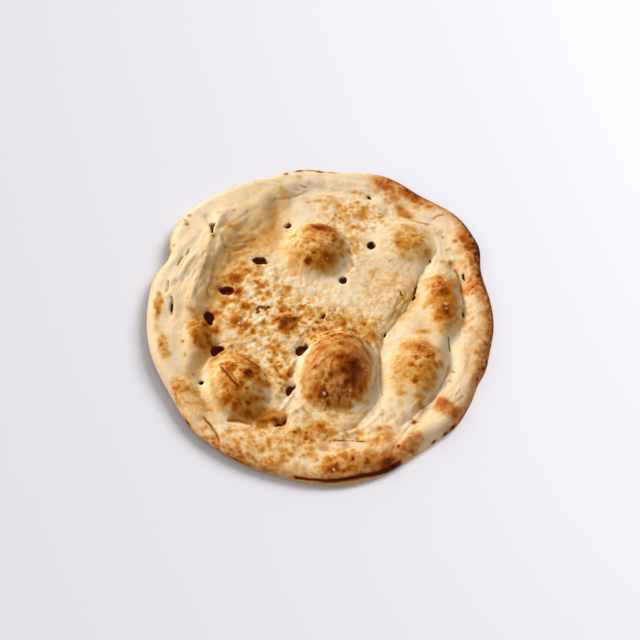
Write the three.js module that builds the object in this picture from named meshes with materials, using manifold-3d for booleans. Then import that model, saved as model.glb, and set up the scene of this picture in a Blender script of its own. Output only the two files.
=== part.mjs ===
// Naan bread: one flat, leavened bread with a puffed rim, air bubbles and docking holes.
// Millimetres, +Z up. The origin is under the middle of the bread, on the surface it rests on.
// +X is to the right and +Y to the back when the bread is seen from the front.

import * as THREE from 'three';
import { mergeVertices } from 'three/addons/utils/BufferGeometryUtils.js';
import Module from 'manifold-3d';

// ---- driving dimensions ----

const HALF_WIDTH = 104.5;       // of the oval that the outline starts from, along X
const HALF_LENGTH = 110.6;      // the same along Y
const FLOOR_THICKNESS = 6;      // of the dough in the docked middle
const EDGE_TOP_ROUND = 7;       // how far in from the edge the top is rounded over
const EDGE_UNDER_ROUND = 4;     // the same on the underside
const EDGE_HEIGHT = 3.2;        // of the outermost line above the underside
const LIFT_WIDTH = 26;          // how far in from the edge a lifted edge leaves the table
const HOLE_CRUST = 2.3;         // dough left under a docking hole
const HOLE_FOOT = 0.6;          // a hole's radius at its bottom, as a share of the one at the top
const HOLE_SHANK = 0.9;         // the same a little higher up
const HOLE_SHANK_HEIGHT = 1;    // how much higher up that is
const HOLE_SIDES = 10;
const CUTTER_MOUTH = 1.1;       // the radius of a hole's cutter above the dough, as such a share
const CUTTER_CLEARANCE = 16;    // how far the cutter stands above the table at least
const BUBBLE_BLEND = 1.2;       // how softly a bubble grows out of the dough and into the next one

const RINGS = 25;               // of the top's mesh, each with six more points than the last
const EDGE_INSETS = [4.2, 2.2, 0.9, 0.2];       // rings near the edge, measured inward
const UNDER_INSETS = [0.5, 1.8, 4, 13];         // the same on the underside
const UNDER_RINGS = [[0.6, 36], [0.19, 6]];     // share of the radius, points

// Where the outline stands out from the oval or in from it: angle and spread in degrees, distance.
const EDGE_BULGES = [
  [15, 11, -1.8], [25.5, 5.5, 2.6], [38, 14, 8], [68, 12, 5.8], [96, 7, 2.8], [114, 9, -0.6],
  [141, 20, 5.9], [141.5, 4, 0.8], [158, 6.5, -5.9], [213, 14, -2.2], [229, 8, 0.8],
  [276, 12, 3.2], [289, 7, 1.4], [300, 8, -0.2], [315, 6, 1.6], [331, 4.5, -1.5], [344, 6, -1],
];

// The puffed rim around the docked middle: angle in degrees, radius where it starts to rise,
// width of its inner slope, height above the middle.
const RIM_STATIONS = [
  [0, 86, 9, 2.5], [20, 91, 8, 2.5], [40, 96, 12, 2.2], [60, 94, 12, 2], [75, 92, 12, 1.8],
  [88, 92, 12, 2], [98, 88, 13, 3.2], [107, 80, 19, 5], [118, 64, 28, 6.5], [128, 65, 22, 6.8],
  [136, 65, 18, 6.8], [152, 64, 17, 6.5], [175, 63, 15, 6], [190, 66, 14, 5], [203, 70, 15, 4.5],
  [214, 82, 13, 3.5], [230, 88, 12, 2.5], [252, 84, 14, 2.5], [275, 90, 12, 2.5],
  [292, 92, 10, 2.5], [306, 93, 8, 3], [320, 88, 9, 3], [342, 83, 10, 3],
];

// Where the edge curls up off the table: angle and spread in degrees, height.
const EDGE_LIFTS = [[205, 45, 2.2], [120, 35, 0.8], [300, 25, 0.8]];

// Air bubbles: x, y, two radii, turn in degrees, height, plumpness.
const BUBBLES = [
  [-3, 45, 21, 21.5, 0, 10.5, 2.2],
  [-49, -53, 19, 22, 14, 11, 2.4],
  [8.5, -41.5, 22.5, 27.5, -20, 14, 2.6],
  [57, -45, 19, 32, -20, 8, 2.2],
  [74, 4, 13, 27, 4, 6.5, 2.2],
  [51, 50, 19, 19, 0, 4.2, 2.2],
  [-71, -21, 9, 14, -8, 4, 2.2],
  [-22, -9, 6, 5, 10, 1.8, 2.2],
  [73, -73, 9, 8, 30, 1.6, 2.2],
];

// Long swellings of the dough: half width, height, points along the crest.
const RIDGES = [
  [5, 1.6, [[-62, 71], [-65, 63], [-69, 57]]],
  [9, 2, [[16, -96], [38, -92], [52, -84]]],
];

// Creases and valleys: half width, depth, points along the bottom.
const VALLEYS = [
  [5, 2.2, [[69, 39], [63, 24], [56, 8], [47, -5], [38, -18], [36, -31], [34, -42], [32, -57],
    [28, -70], [17, -85]]],
  [4, 2, [[83, 33], [88, 22], [87, 8], [84, -7], [77, -24], [75, -40], [68, -53], [58, -68],
    [44, -84], [40, -94]]],
  [5, 1.5, [[-69, -50], [-61, -65], [-48, -76], [-23, -77]]],
  [4, 1.5, [[-11, -28], [-14, -40], [-17, -55], [-22, -75]]],
  [3, 0.9, [[-12, 96], [2, 94], [18, 92], [32, 88]]],
  [3, 1.2, [[-66, -76], [-62, -80], [-58, -86]]],
];

// Docking holes: x, y, two radii, turn in degrees.
const HOLES = [
  [-68, 58.5, 1.3, 2.7, -5], [-21, 66, 2.6, 2.1, 0], [-38, 38, 4.3, 3, -5],
  [-57, 15, 4.5, 3.2, -5], [-67, -4.5, 3.1, 3.6, 15], [-60.5, -28.5, 4.3, 3.6, 20],
  [-69, -50, 1.6, 1.8, 0], [-11, -27.8, 3.9, 3.6, 35], [-17.5, -55, 2.8, 3.5, -15],
  [2, -4, 0.9, 2.2, -35], [14, 23, 2.3, 2.7, 0], [32, 49.5, 2.7, 3.1, 0], [32, 89, 1.7, 0.8, -30],
  [68.5, 39, 0.8, 1.6, 20], [57, 11, 1.2, 2.2, -25], [38.5, -16, 0.8, 1.5, -20],
  [-24.5, -76.3, 3.5, 1.3, 8], [88.5, 26, 0.8, 2.8, 14], [86, -2, 0.8, 1.9, 5],
  [-89, -1.5, 0.9, 3.6, 4],
];

// ---- the surface ----

const DEGREE = Math.PI / 180;

/** The shortest turn from one angle to another, in degrees. */
function turnBetween(from, to) {
  return ((to - from + 540) % 360) - 180;
}

/** A smooth hump over an angle: its height falls to a third one spread away. */
function hump(angle, [centre, spread, height]) {
  const away = turnBetween(centre, angle) / spread;
  return height * Math.exp(-away * away);
}

/** The outline's radius at an angle in degrees. */
function outlineRadius(angle) {
  const across = HALF_LENGTH * Math.cos(angle * DEGREE);
  const along = HALF_WIDTH * Math.sin(angle * DEGREE);
  const oval = HALF_WIDTH * HALF_LENGTH / Math.hypot(across, along);
  return EDGE_BULGES.reduce((radius, bulge) => radius + hump(angle, bulge), oval);
}

/** A rise from 0 to 1 with level ends. */
function smoothRise(share) {
  const t = THREE.MathUtils.clamp(share, 0, 1);
  return t * t * (3 - 2 * t);
}

/** The rim's start radius, slope width and height at an angle, between the two nearest stations. */
function rimAt(angle) {
  const count = RIM_STATIONS.length;
  let index = count - 1;
  while (index > 0 && RIM_STATIONS[index][0] > angle) {
    index -= 1;
  }
  const before = RIM_STATIONS[index];
  const after = RIM_STATIONS[(index + 1) % count];
  const gap = (after[0] - before[0] + 360) % 360;
  const share = smoothRise((angle - before[0]) / gap);
  return [1, 2, 3].map((column) => THREE.MathUtils.lerp(before[column], after[column], share));
}

/** The distance from a point to a line of points. */
function distanceToPath(x, y, path) {
  let nearest = Infinity;
  for (let i = 0; i + 1 < path.length; i += 1) {
    const [ax, ay] = path[i];
    const [bx, by] = path[i + 1];
    const length = Math.hypot(bx - ax, by - ay);
    const along = ((x - ax) * (bx - ax) + (y - ay) * (by - ay)) / (length * length);
    const share = THREE.MathUtils.clamp(along, 0, 1);
    const away = Math.hypot(x - ax - share * (bx - ax), y - ay - share * (by - ay));
    nearest = Math.min(nearest, away);
  }
  return nearest;
}

/** How far out in a turned oval a point lies: 0 at its middle, 1 on its edge. */
function ovalShare(x, y, [cx, cy, radiusX, radiusY, turn]) {
  const cos = Math.cos(turn * DEGREE);
  const sin = Math.sin(turn * DEGREE);
  const across = (x - cx) * cos + (y - cy) * sin;
  const along = (y - cy) * cos - (x - cx) * sin;
  return Math.hypot(across / radiusX, along / radiusY);
}

/** What all bubbles together add at a point: each is steep at its foot and rounded on top. */
function bubbleField(x, y) {
  const sum = BUBBLES.reduce((total, bubble) => {
    const [, , , , , height, plumpness] = bubble;
    const dome = height * (1 - ovalShare(x, y, bubble) ** plumpness);
    return total + Math.exp(dome / BUBBLE_BLEND);
  }, 1);
  return BUBBLE_BLEND * Math.log(sum);
}

/** A ridge's height, or a valley's depth, at a point. */
function bandHeight(x, y, [halfWidth, height, path]) {
  const away = distanceToPath(x, y, path) / halfWidth;
  return height * Math.exp(-away * away);
}

/** How far the underside stands off the table, at an angle and a distance in from the edge. */
function liftAt(angle, inset) {
  const height = EDGE_LIFTS.reduce((sum, lift) => sum + hump(angle, lift), 0);
  return height * Math.max(0, 1 - inset / LIFT_WIDTH) ** 2;
}

/** The top's height before its edge is rounded over. */
function openTop(x, y, angle, inset) {
  const [rimStart, rimSlope, rimHeight] = rimAt(angle);
  const rimShare = (Math.hypot(x, y) - rimStart) / rimSlope;
  let height = FLOOR_THICKNESS + rimHeight * smoothRise(rimShare);
  height += bubbleField(x, y);
  RIDGES.forEach((ridge) => { height += bandHeight(x, y, ridge); });
  VALLEYS.forEach((valley) => { height -= bandHeight(x, y, valley); });
  return height + liftAt(angle, inset);
}

/** A quarter round: 0 at the edge and 1 at its full width in from the edge. */
function quarterRound(inset, width) {
  const out = 1 - Math.min(1, inset / width);
  return Math.sqrt(1 - out * out);
}

/** A point's angle around the bread and its distance in from the edge. */
function placeInBread(x, y) {
  const angle = (Math.atan2(y, x) / DEGREE + 360) % 360;
  return [angle, Math.max(0, outlineRadius(angle) - Math.hypot(x, y))];
}

/** The top's height at a point. */
function topHeight(x, y) {
  const [angle, inset] = placeInBread(x, y);
  const edge = EDGE_HEIGHT + liftAt(angle, 0);
  return edge + (openTop(x, y, angle, inset) - edge) * quarterRound(inset, EDGE_TOP_ROUND);
}

/** The underside's height, at an angle and a distance in from the edge. */
function underHeight(angle, inset) {
  const edge = EDGE_HEIGHT + liftAt(angle, 0);
  const under = liftAt(angle, inset);
  return edge + (under - edge) * quarterRound(inset, EDGE_UNDER_ROUND);
}

// ---- the mesh ----

/** Points on one closed line around the bread: radiusAt and heightAt give each one's place. */
function makeRing(points, count, radiusAt, heightAt) {
  const ring = [];
  for (let i = 0; i < count; i += 1) {
    const angle = 360 * i / count;
    const radius = radiusAt(outlineRadius(angle));
    const x = radius * Math.cos(angle * DEGREE);
    const y = radius * Math.sin(angle * DEGREE);
    ring.push(points.length / 3);
    points.push(x, y, heightAt(x, y, angle, outlineRadius(angle) - radius));
  }
  return ring;
}

/** Triangles between an inner and an outer ring, whose point counts may differ. */
function stitch(triangles, inner, outer, facesUp) {
  let i = 0;
  let o = 0;
  while (i < inner.length || o < outer.length) {
    const stepInner = (i + 1) / inner.length < (o + 1) / outer.length;
    const innerNow = inner[i % inner.length];
    const outerNow = outer[o % outer.length];
    let next;
    if (stepInner) {
      i += 1;
      next = inner[i % inner.length];
    } else {
      o += 1;
      next = outer[o % outer.length];
    }
    triangles.push(...(facesUp ? [innerNow, outerNow, next] : [outerNow, innerNow, next]));
  }
}

/** Triangles between a middle point and the ring around it. */
function closeMiddle(triangles, middle, ring, facesUp) {
  ring.forEach((point, i) => {
    const next = ring[(i + 1) % ring.length];
    triangles.push(...(facesUp ? [middle, point, next] : [middle, next, point]));
  });
}

/** The whole bread without its docking holes, as one closed mesh. */
function makeLoaf() {
  const points = [];
  const triangles = [];
  const edgeCount = 6 * RINGS;
  const firstInset = EDGE_INSETS[0] + EDGE_TOP_ROUND / 2;

  const middle = points.length / 3;
  points.push(0, 0, topHeight(0, 0));
  let ring = null;
  for (let k = 1; k <= RINGS; k += 1) {
    const share = k / RINGS;
    const outer = makeRing(points, 6 * k, (edge) => (edge - firstInset) * share, topHeight);
    if (ring) {
      stitch(triangles, ring, outer, true);
    } else {
      closeMiddle(triangles, middle, outer, true);
    }
    ring = outer;
  }
  [...EDGE_INSETS, 0].forEach((inset) => {
    const outer = makeRing(points, edgeCount, (edge) => edge - inset, topHeight);
    stitch(triangles, ring, outer, true);
    ring = outer;
  });

  const under = (x, y, angle, inset) => underHeight(angle, inset);
  [...UNDER_INSETS, LIFT_WIDTH].forEach((inset) => {
    const inner = makeRing(points, edgeCount, (edge) => edge - inset, under);
    stitch(triangles, inner, ring, false);
    ring = inner;
  });
  UNDER_RINGS.forEach(([share, count]) => {
    const inner = makeRing(points, count, (edge) => edge * share, under);
    stitch(triangles, inner, ring, false);
    ring = inner;
  });
  const underMiddle = points.length / 3;
  points.push(0, 0, 0);
  closeMiddle(triangles, underMiddle, ring, false);

  const geometry = new THREE.BufferGeometry();
  geometry.setAttribute('position', new THREE.Float32BufferAttribute(points, 3));
  geometry.setIndex(triangles);
  return geometry;
}

/** What one docking hole takes out: a blunt oval peg that narrows towards its end. */
function makeHoleCutter([x, y, radiusX, radiusY, turn]) {
  const [angle, inset] = placeInBread(x, y);
  const surface = topHeight(x, y);
  const top = Math.max(CUTTER_CLEARANCE, surface + EDGE_TOP_ROUND);
  const bottom = HOLE_CRUST + liftAt(angle, inset);
  const profile = [
    [0, bottom],
    [HOLE_FOOT, bottom],
    [HOLE_SHANK, bottom + HOLE_SHANK_HEIGHT],
    [1, surface],
    [CUTTER_MOUTH, top],
    [0, top],
  ];
  const points = profile.map(([radius, height]) => new THREE.Vector2(radius, height));
  const cutter = new THREE.LatheGeometry(points, HOLE_SIDES);
  cutter.rotateX(Math.PI / 2);
  cutter.scale(radiusX, radiusY, 1);
  cutter.rotateZ(turn * DEGREE);
  cutter.translate(x, y, 0);
  return cutter;
}

// ---- cutting the holes ----

/** A closed geometry as a solid that can be cut. */
function toSolid(wasm, geometry) {
  const bare = geometry.clone();
  bare.deleteAttribute('normal');
  bare.deleteAttribute('uv');
  const merged = mergeVertices(bare);
  return new wasm.Manifold(new wasm.Mesh({
    numProp: 3,
    vertProperties: new Float32Array(merged.getAttribute('position').array),
    triVerts: new Uint32Array(merged.getIndex().array),
  }));
}

/** A solid as a geometry again. */
function toGeometry(solid) {
  const mesh = solid.getMesh();
  const geometry = new THREE.BufferGeometry();
  geometry.setAttribute('position', new THREE.BufferAttribute(mesh.vertProperties, mesh.numProp));
  geometry.setIndex(new THREE.BufferAttribute(mesh.triVerts, 1));
  geometry.computeVertexNormals();
  return geometry;
}

const wasm = await Module();
wasm.setup();

const bread = HOLES.reduce(
  (solid, hole) => solid.subtract(toSolid(wasm, makeHoleCutter(hole))),
  toSolid(wasm, makeLoaf()),
);

const bakedDough = new THREE.MeshStandardMaterial({ color: 0xe2bd86, roughness: 0.75, metalness: 0 });

const naan = new THREE.Mesh(toGeometry(bread), bakedDough);
naan.name = 'naan_bread';
naan.geometry.computeBoundingBox();
const footprintMiddle = naan.geometry.boundingBox.getCenter(new THREE.Vector3());
naan.position.set(-footprintMiddle.x, -footprintMiddle.y, 0);

const group = new THREE.Group();
group.add(naan);

export default group;
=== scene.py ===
"""Naan bread: the baked look of the frame's one solid.

The bread's top is a height over its footprint. The bubbles, swellings, valleys and docking holes of the
solid are repeated here, in millimetres, and finer folds, blisters and wrinkles lie on top of them. How
far each point is toasted is worked out from named patches and spots, with some painted shade worked in,
and the crust's material reads it.
"""

import math

import bpy
import numpy as np
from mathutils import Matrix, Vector


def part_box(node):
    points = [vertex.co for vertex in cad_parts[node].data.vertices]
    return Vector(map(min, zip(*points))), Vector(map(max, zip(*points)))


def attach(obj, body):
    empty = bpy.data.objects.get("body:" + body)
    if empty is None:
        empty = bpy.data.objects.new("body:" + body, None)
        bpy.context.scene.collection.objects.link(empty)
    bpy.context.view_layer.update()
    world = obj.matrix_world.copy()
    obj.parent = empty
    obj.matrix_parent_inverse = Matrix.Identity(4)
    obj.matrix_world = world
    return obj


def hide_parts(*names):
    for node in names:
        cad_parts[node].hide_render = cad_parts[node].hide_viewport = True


NODE = "naan_bread"
MM = 0.001

# ---- the bread's own shape, in millimetres and degrees, as in the solid ----

HALF_WIDTH = 104.5
HALF_LENGTH = 110.6
FLOOR_THICKNESS = 6.0
EDGE_TOP_ROUND = 7.0
EDGE_UNDER_ROUND = 4.0
EDGE_HEIGHT = 3.2
LIFT_WIDTH = 26.0
HOLE_CRUST = 2.3
BUBBLE_BLEND = 1.2              # how softly a bubble grows out of the dough and into the next one

# Where the outline stands out from the oval or in from it: angle and spread, distance.
EDGE_BULGES = [
    (15, 11, -1.8), (25.5, 5.5, 2.6), (38, 14, 8), (68, 12, 5.8), (96, 7, 2.8), (114, 9, -0.6),
    (141, 20, 5.9), (141.5, 4, 0.8), (158, 6.5, -5.9), (213, 14, -2.2), (229, 8, 0.8), (276, 12, 3.2),
    (289, 7, 1.4), (300, 8, -0.2), (315, 6, 1.6), (331, 4.5, -1.5), (344, 6, -1),
]

# The puffed rim: angle, radius where it starts to rise, width of its inner slope, height.
RIM_STATIONS = [
    (0, 86, 9, 2.5), (20, 91, 8, 2.5), (40, 96, 12, 2.2), (60, 94, 12, 2), (75, 92, 12, 1.8),
    (88, 92, 12, 2), (98, 88, 13, 3.2), (107, 80, 19, 5), (118, 64, 28, 6.5), (128, 65, 22, 6.8),
    (136, 65, 18, 6.8), (152, 64, 17, 6.5), (175, 63, 15, 6), (190, 66, 14, 5), (203, 70, 15, 4.5),
    (214, 82, 13, 3.5), (230, 88, 12, 2.5), (252, 84, 14, 2.5), (275, 90, 12, 2.5), (292, 92, 10, 2.5),
    (306, 93, 8, 3), (320, 88, 9, 3), (342, 83, 10, 3),
]

# Where the edge curls up off the table: angle and spread, height.
EDGE_LIFTS = [(205, 45, 2.2), (120, 35, 0.8), (300, 25, 0.8)]

# Air bubbles: x, y, two radii, turn, height, plumpness.
BACK_BUBBLE = (-3, 45, 21, 21.5, 0, 10.5, 2.2)
LEFT_BUBBLE = (-49, -53, 19, 22, 14, 11, 2.4)
MIDDLE_BUBBLE = (8.5, -41.5, 22.5, 27.5, -20, 14, 2.6)
RIDGE_BUBBLE = (57, -45, 19, 32, -20, 8, 2.2)
RIGHT_BUBBLE = (74, 4, 13, 27, 4, 6.5, 2.2)
BUBBLES = [
    BACK_BUBBLE, LEFT_BUBBLE, MIDDLE_BUBBLE, RIDGE_BUBBLE, RIGHT_BUBBLE,
    (51, 50, 19, 19, 0, 4.2, 2.2),
    (-71, -21, 9, 14, -8, 4, 2.2),
    (-22, -9, 6, 5, 10, 1.8, 2.2),
    (73, -73, 9, 8, 30, 1.6, 2.2),
]

# Long swellings of the dough: half width, height, points along the crest.
RIDGES = [
    (5, 1.6, [(-62, 71), (-65, 63), (-69, 57)]),
    (9, 2, [(16, -96), (38, -92), (52, -84)]),
]

# Creases and valleys: half width, depth, points along the bottom.
VALLEYS = [
    (5, 2.2, [(69, 39), (63, 24), (56, 8), (47, -5), (38, -18), (36, -31), (34, -42), (32, -57),
              (28, -70), (17, -85)]),
    (4, 2, [(83, 33), (88, 22), (87, 8), (84, -7), (77, -24), (75, -40), (68, -53), (58, -68),
            (44, -84), (40, -94)]),
    (5, 1.5, [(-69, -50), (-61, -65), (-48, -76), (-23, -77)]),
    (4, 1.5, [(-11, -28), (-14, -40), (-17, -55), (-22, -75)]),
    (3, 0.9, [(-12, 96), (2, 94), (18, 92), (32, 88)]),
    (3, 1.2, [(-66, -76), (-62, -80), (-58, -86)]),
]

# Docking holes: x, y, two radii, turn.
HOLES = [
    (-68, 58.5, 1.3, 2.7, -5), (-21, 66, 2.6, 2.1, 0), (-38, 38, 4.3, 3, -5), (-57, 15, 4.5, 3.2, -5),
    (-67, -4.5, 3.1, 3.6, 15), (-60.5, -28.5, 4.3, 3.6, 20), (-69, -50, 1.6, 1.8, 0),
    (-11, -27.8, 3.9, 3.6, 35), (-17.5, -55, 2.8, 3.5, -15), (2, -4, 0.9, 2.2, -35),
    (14, 23, 2.3, 2.7, 0), (32, 49.5, 2.7, 3.1, 0), (32, 89, 1.7, 0.8, -30), (68.5, 39, 0.8, 1.6, 20),
    (57, 11, 1.2, 2.2, -25), (38.5, -16, 0.8, 1.5, -20), (-24.5, -76.3, 3.5, 1.3, 8),
    (88.5, 26, 0.8, 2.8, 14), (86, -2, 0.8, 1.9, 5), (-89, -1.5, 0.9, 3.6, 4),
]

# ---- finer folds, in millimetres ----

# Where the lip of a fold closes a docking hole: the hole's place in the list, the lip's direction from
# the hole's middle, how far out in the hole it stands.
HOLE_LIPS = [(1, 135, 0.3), (2, 85, 0.72), (5, -50, 0.46), (7, -52, 0.85), (8, -29, 0.3), (16, 130, 0.3)]

# Narrow tips of docking holes: x, y, two radii, turn.
HOLE_TIPS = [
    (-66.3, -8.6, 1.5, 2.9, 8), (-34.4, 36.4, 1.4, 1.1, 0), (-67.8, 54.8, 0.7, 1.6, -5),
    (-8.2, -24.6, 1.4, 1.2, 30), (-15.2, -52.4, 0.9, 1.4, -30), (-20.4, -74.6, 1.2, 1.5, -30),
    (58.2, 16.5, 0.6, 4, -18), (-61, 16.5, 1.3, 1.5, 0), (-67.8, 60.1, 1.7, 1.3, 10),
]

# Sharp folds: half width, depth, height of the lip to the left of the path, how dark it is (toast and
# painted shade in the fold), points along the fold.
CREASES = [
    # left rim
    (0.7, 0.6, 0.2, 0.9, [(-81.5, 42), (-82, 39.5), (-83, 37)]),
    (0.7, 0.6, 0.2, 0.9, [(-85, 35.5), (-86, 33), (-87.5, 29)]),
    (0.7, 0.6, 0.3, 0.4, [(-71, 39.5), (-74, 34), (-77, 29), (-81, 22)]),
    (0.6, 0.4, 0.2, 0.3, [(-86.5, 17.5), (-88, 14.5)]),
    (0.8, 0.8, 0.4, 0.8, [(-92.5, 17), (-92, 13.5), (-92.5, 9.5)]),
    (0.9, 0.8, 0.5, 0.7, [(-89.5, 6), (-88.7, 0), (-88.7, -6)]),
    (0.6, 0.5, 0.1, 0.7, [(-68.5, 14), (-68, 8.5)]),
    (0.8, 0.6, 0.2, 0.15, [(-65, 34), (-66.5, 24.5), (-68, 15)]),
    (0.5, 0.3, 0.1, 0.6, [(-91, 60), (-89, 63), (-87, 66), (-83, 60)]),
    (0.8, 0.7, 0.4, 0.1, [(-61.5, 52), (-59, 46), (-53.5, 44.5), (-47, 48)]),
    (0.8, 0.5, 0.3, 0.1, [(-54, 49), (-47, 51), (-41, 54)]),
    (0.7, 0.5, 0.2, 0.1, [(-76, 47), (-79, 44), (-82, 38)]),
    (0.7, 0.5, 0.2, 0.1, [(-74, 22), (-77, 14), (-79, 4)]),
    (1.1, 0.9, 0.1, 0.25, [(-69, 66), (-68.3, 61)]),
    (0.9, 0.5, 0.1, 0.15, [(-73, 68), (-70, 62)]),
    # back
    (0.7, 0.4, 0.2, 0.8, [(-12, 97), (-9.5, 96)]),
    (0.8, 0.5, 0.3, 0.1, [(-30, 84), (-20, 87), (-10, 93)]),
    (0.7, 0.5, 0.2, 0.4, [(26.5, 95), (29, 91.5), (31, 89)]),
    (0.7, 0.4, 0.2, 0.35, [(34.5, 82.5), (39.5, 78), (44.5, 73)]),
    (0.7, 0.4, 0.2, 0.3, [(36.5, 75), (42, 72.5)]),
    # back right
    (0.8, 0.35, 0.3, 0.08, [(54, 68.5), (60, 67.5), (65, 66.5), (69, 66)]),
    (0.6, 0.3, 0.2, 0.1, [(72.5, 70.5), (75, 72), (78.5, 72.5)]),
    (0.7, 0.4, 0.2, 0.2, [(50.5, 78), (53.5, 73), (58.5, 69.5)]),
    (0.9, 0.6, 0.2, 0.3, [(69.5, 43), (67, 36), (64, 30), (59.5, 22), (57.5, 14)]),
    (0.7, 0.5, 0.2, 0.3, [(73, 47), (71, 42), (68, 36)]),
    # between the floor and the ridge bubble
    (0.8, 0.7, 0.1, 0.5, [(55, 8.5), (50.5, 0.5), (46, -5.5), (42.5, -11), (39, -15)]),
    (0.6, 0.4, 0.2, 0.1, [(50, 8), (46, 0.5), (41, -7.5)]),
    (0.6, 0.4, 0.2, 0.1, [(54, 14), (49, 6), (45, 2)]),
    (0.8, 0.8, 0.1, 0.3, [(38, -17.5), (35.5, -28), (35, -39), (35, -50), (35.5, -58)]),
    (0.6, 0.4, 0.2, 0.1, [(33, -27), (32, -37.5), (32, -47), (32, -56)]),
    (0.8, 0.6, 0.3, 0.2, [(33.5, -59.5), (29.5, -65.5), (23.5, -73.5), (16.5, -81.5)]),
    (0.6, 0.4, 0.2, 0.1, [(28, -62), (24, -68), (18, -75)]),
    # between the ridge bubble and the right rim
    (0.9, 0.8, 0.2, 0.6, [(83.5, 32), (85, 26.5), (86.5, 18.5), (87, 11)]),
    (0.8, 0.6, 0.2, 0.4, [(87, 11), (87, 4), (86, -4)]),
    (0.7, 0.6, 0.2, 0.8, [(76, -20), (76.5, -24), (75.5, -29)]),
    (0.8, 0.7, 0.2, 0.4, [(75, -39), (72.5, -47), (68.5, -56), (63.5, -63), (58.5, -68)]),
    (0.6, 0.5, 0.2, 0.4, [(66, -56), (61, -64.5)]),
    (0.8, 0.7, 0.2, 0.3, [(52.5, -75.5), (47.5, -82.5), (43, -90), (39.5, -96.5)]),
    (0.6, 0.4, 0.2, 0.6, [(81, -60), (78, -63.5), (74.5, -67.5)]),
    (0.6, 0.4, 0.2, 0.5, [(80, -57), (76.5, -61.5)]),
    (0.6, 0.3, 0.1, 1.6, [(49, 14.5), (49.5, 11.5)]),
    # front
    (0.7, 0.6, 0.4, 1.0, [(24, -88.5), (18, -87.5), (11, -87.5), (4, -88)]),
    (0.6, 0.5, 0.3, 1.0, [(-65.5, -74.5), (-61.5, -79.5), (-58.5, -84), (-56.5, -89)]),
    (0.7, 0.5, 0.3, 0.6, [(-52, -75), (-45.5, -74.5), (-39.5, -76.5)]),
    # middle bubble
    (0.6, 0.5, 0.2, 0.5, [(5, -22.5), (10.5, -20), (15, -20.5)]),
    (0.7, 0.6, 0.2, 0.85, [(19, -20.5), (22.5, -24.5), (25, -27)]),
    (0.7, 0.6, 0.2, 0.7, [(25, -29), (27.5, -33), (29, -37)]),
    (0.6, 0.5, 0.2, 0.4, [(29.5, -37.5), (29.5, -45.5), (29, -54)]),
    (0.6, 0.4, 0.1, 0.4, [(17.5, -13.5), (21.5, -15), (25, -18)]),
    # front left bubble
    (0.6, 0.5, 0.2, 0.5, [(-64, -25.5), (-58.5, -22.5), (-52, -23.5)]),
    # left bubble
    (0.7, 0.6, 0.2, 0.15, [(-78, -17), (-72, -13), (-66.5, -13.5), (-64.5, -18), (-63.8, -24)]),
    (0.9, 0.4, 0.2, 0.2, [(-57, -45), (-54.5, -48), (-51.5, -52.5), (-49, -56), (-46.5, -59)]),
    (0.8, 0.3, 0.1, 0.1, [(-54, -45.5), (-51, -50), (-47.5, -55.5)]),
    # docked middle
    (0.5, 0.3, 0.1, 0.5, [(-11, -24), (-12, -20), (-10, -16)]),
    (0.9, 0.2, 0.0, 3, [(-38.5, 0.6), (-36.6, 2.8)]),
    (0.8, 0.2, 0.0, 3, [(-38.4, -1.6), (-37.2, -0.8)]),
    (0.8, 0.2, 0.0, 3, [(-35.4, 3.2), (-35, 1), (-33.6, 2.4)]),
    (0.9, 0.2, 0.0, 3, [(-33.2, 0.4), (-31.6, 2.8)]),
]

# Small raised folds: half width, height, points along the fold.
FOLDS = [
    (2.6, 1.1, [(-62.5, 66), (-65.5, 57), (-69.5, 46), (-73.5, 37)]),
    (1.6, 0.6, [(-74, 44), (-82, 30), (-86, 20)]),
    (1.8, 0.7, [(-70, 36), (-75, 20), (-78, 6)]),
    (1.4, 0.5, [(-66, 38), (-68, 22), (-70, 8)]),
    (1.6, 0.5, [(-64, 54), (-60, 44), (-53, 42), (-46, 45)]),
    (1.5, 0.6, [(-58, 60), (-52, 54), (-44, 57)]),
    (1.2, 0.4, [(27, -24), (31, -34), (31.5, -46), (30, -60)]),
    (1.2, 0.6, [(2, -19), (10, -17), (19, -20), (24.5, -25)]),
    (1.3, 1.0, [(-6, -28.5), (-10, -31.5), (-15, -35), (-19, -44)]),
    (1.3, 1.0, [(-12, -50), (-15.5, -54), (-18, -60), (-22, -68), (-20, -74)]),
    (1.2, 1.0, [(-53, -25), (-59, -30.5), (-64, -35), (-67, -42)]),
    (1.5, 0.7, [(-36, -74), (-26, -73), (-17, -70), (-11, -66)]),
    (1.6, 0.6, [(-54, -24), (-44, -22), (-32, -17)]),
    (1.5, 0.5, [(-36, 10), (-33, -4), (-42, -16)]),
    (1.3, 0.6, [(72, 40), (66, 26), (61, 14)]),
    (1.3, 0.6, [(70, -50), (60, -66), (46, -82)]),
    (1.3, 0.6, [(35, -68), (26, -78), (12, -84)]),
    (1.5, 0.8, [(-62, -71), (-52, -77.5), (-40, -78.5)]),
    (2.4, -1.1, [(-71, 67), (-69.5, 63), (-68.5, 60)]),
    (1.7, -0.3, [(89, -26), (87, -34), (84, -46)]),
    (1.7, 0.4, [(84.5, -24), (82.5, -34), (79.5, -46)]),
    (1.5, 0.5, [(93, -30), (90, -40), (86, -52)]),
]

# Where the dough is blistered: x, y, two radii, turn if any, how much.
BLISTERED = [
    (-36, 6, 24, 40, 5, 1.0), (-8, 2, 26, 22, 0.7), (-27, -40, 13, 26, 0.7), (22, 74, 26, 14, -10, 0.5),
    (10, -12, 30, 12, 0.6), (-3, 46, 20, 22, 0.5), (42, 20, 22, 30, 0.15), (-5, -86, 50, 14, 0.25),
    (52, -42, 14, 24, 0.25), (75, 5, 9, 20, 0.3), (-71, -19, 8, 14, 24, 0.5), (22, 44, 8, 16, 0.5),
]

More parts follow.
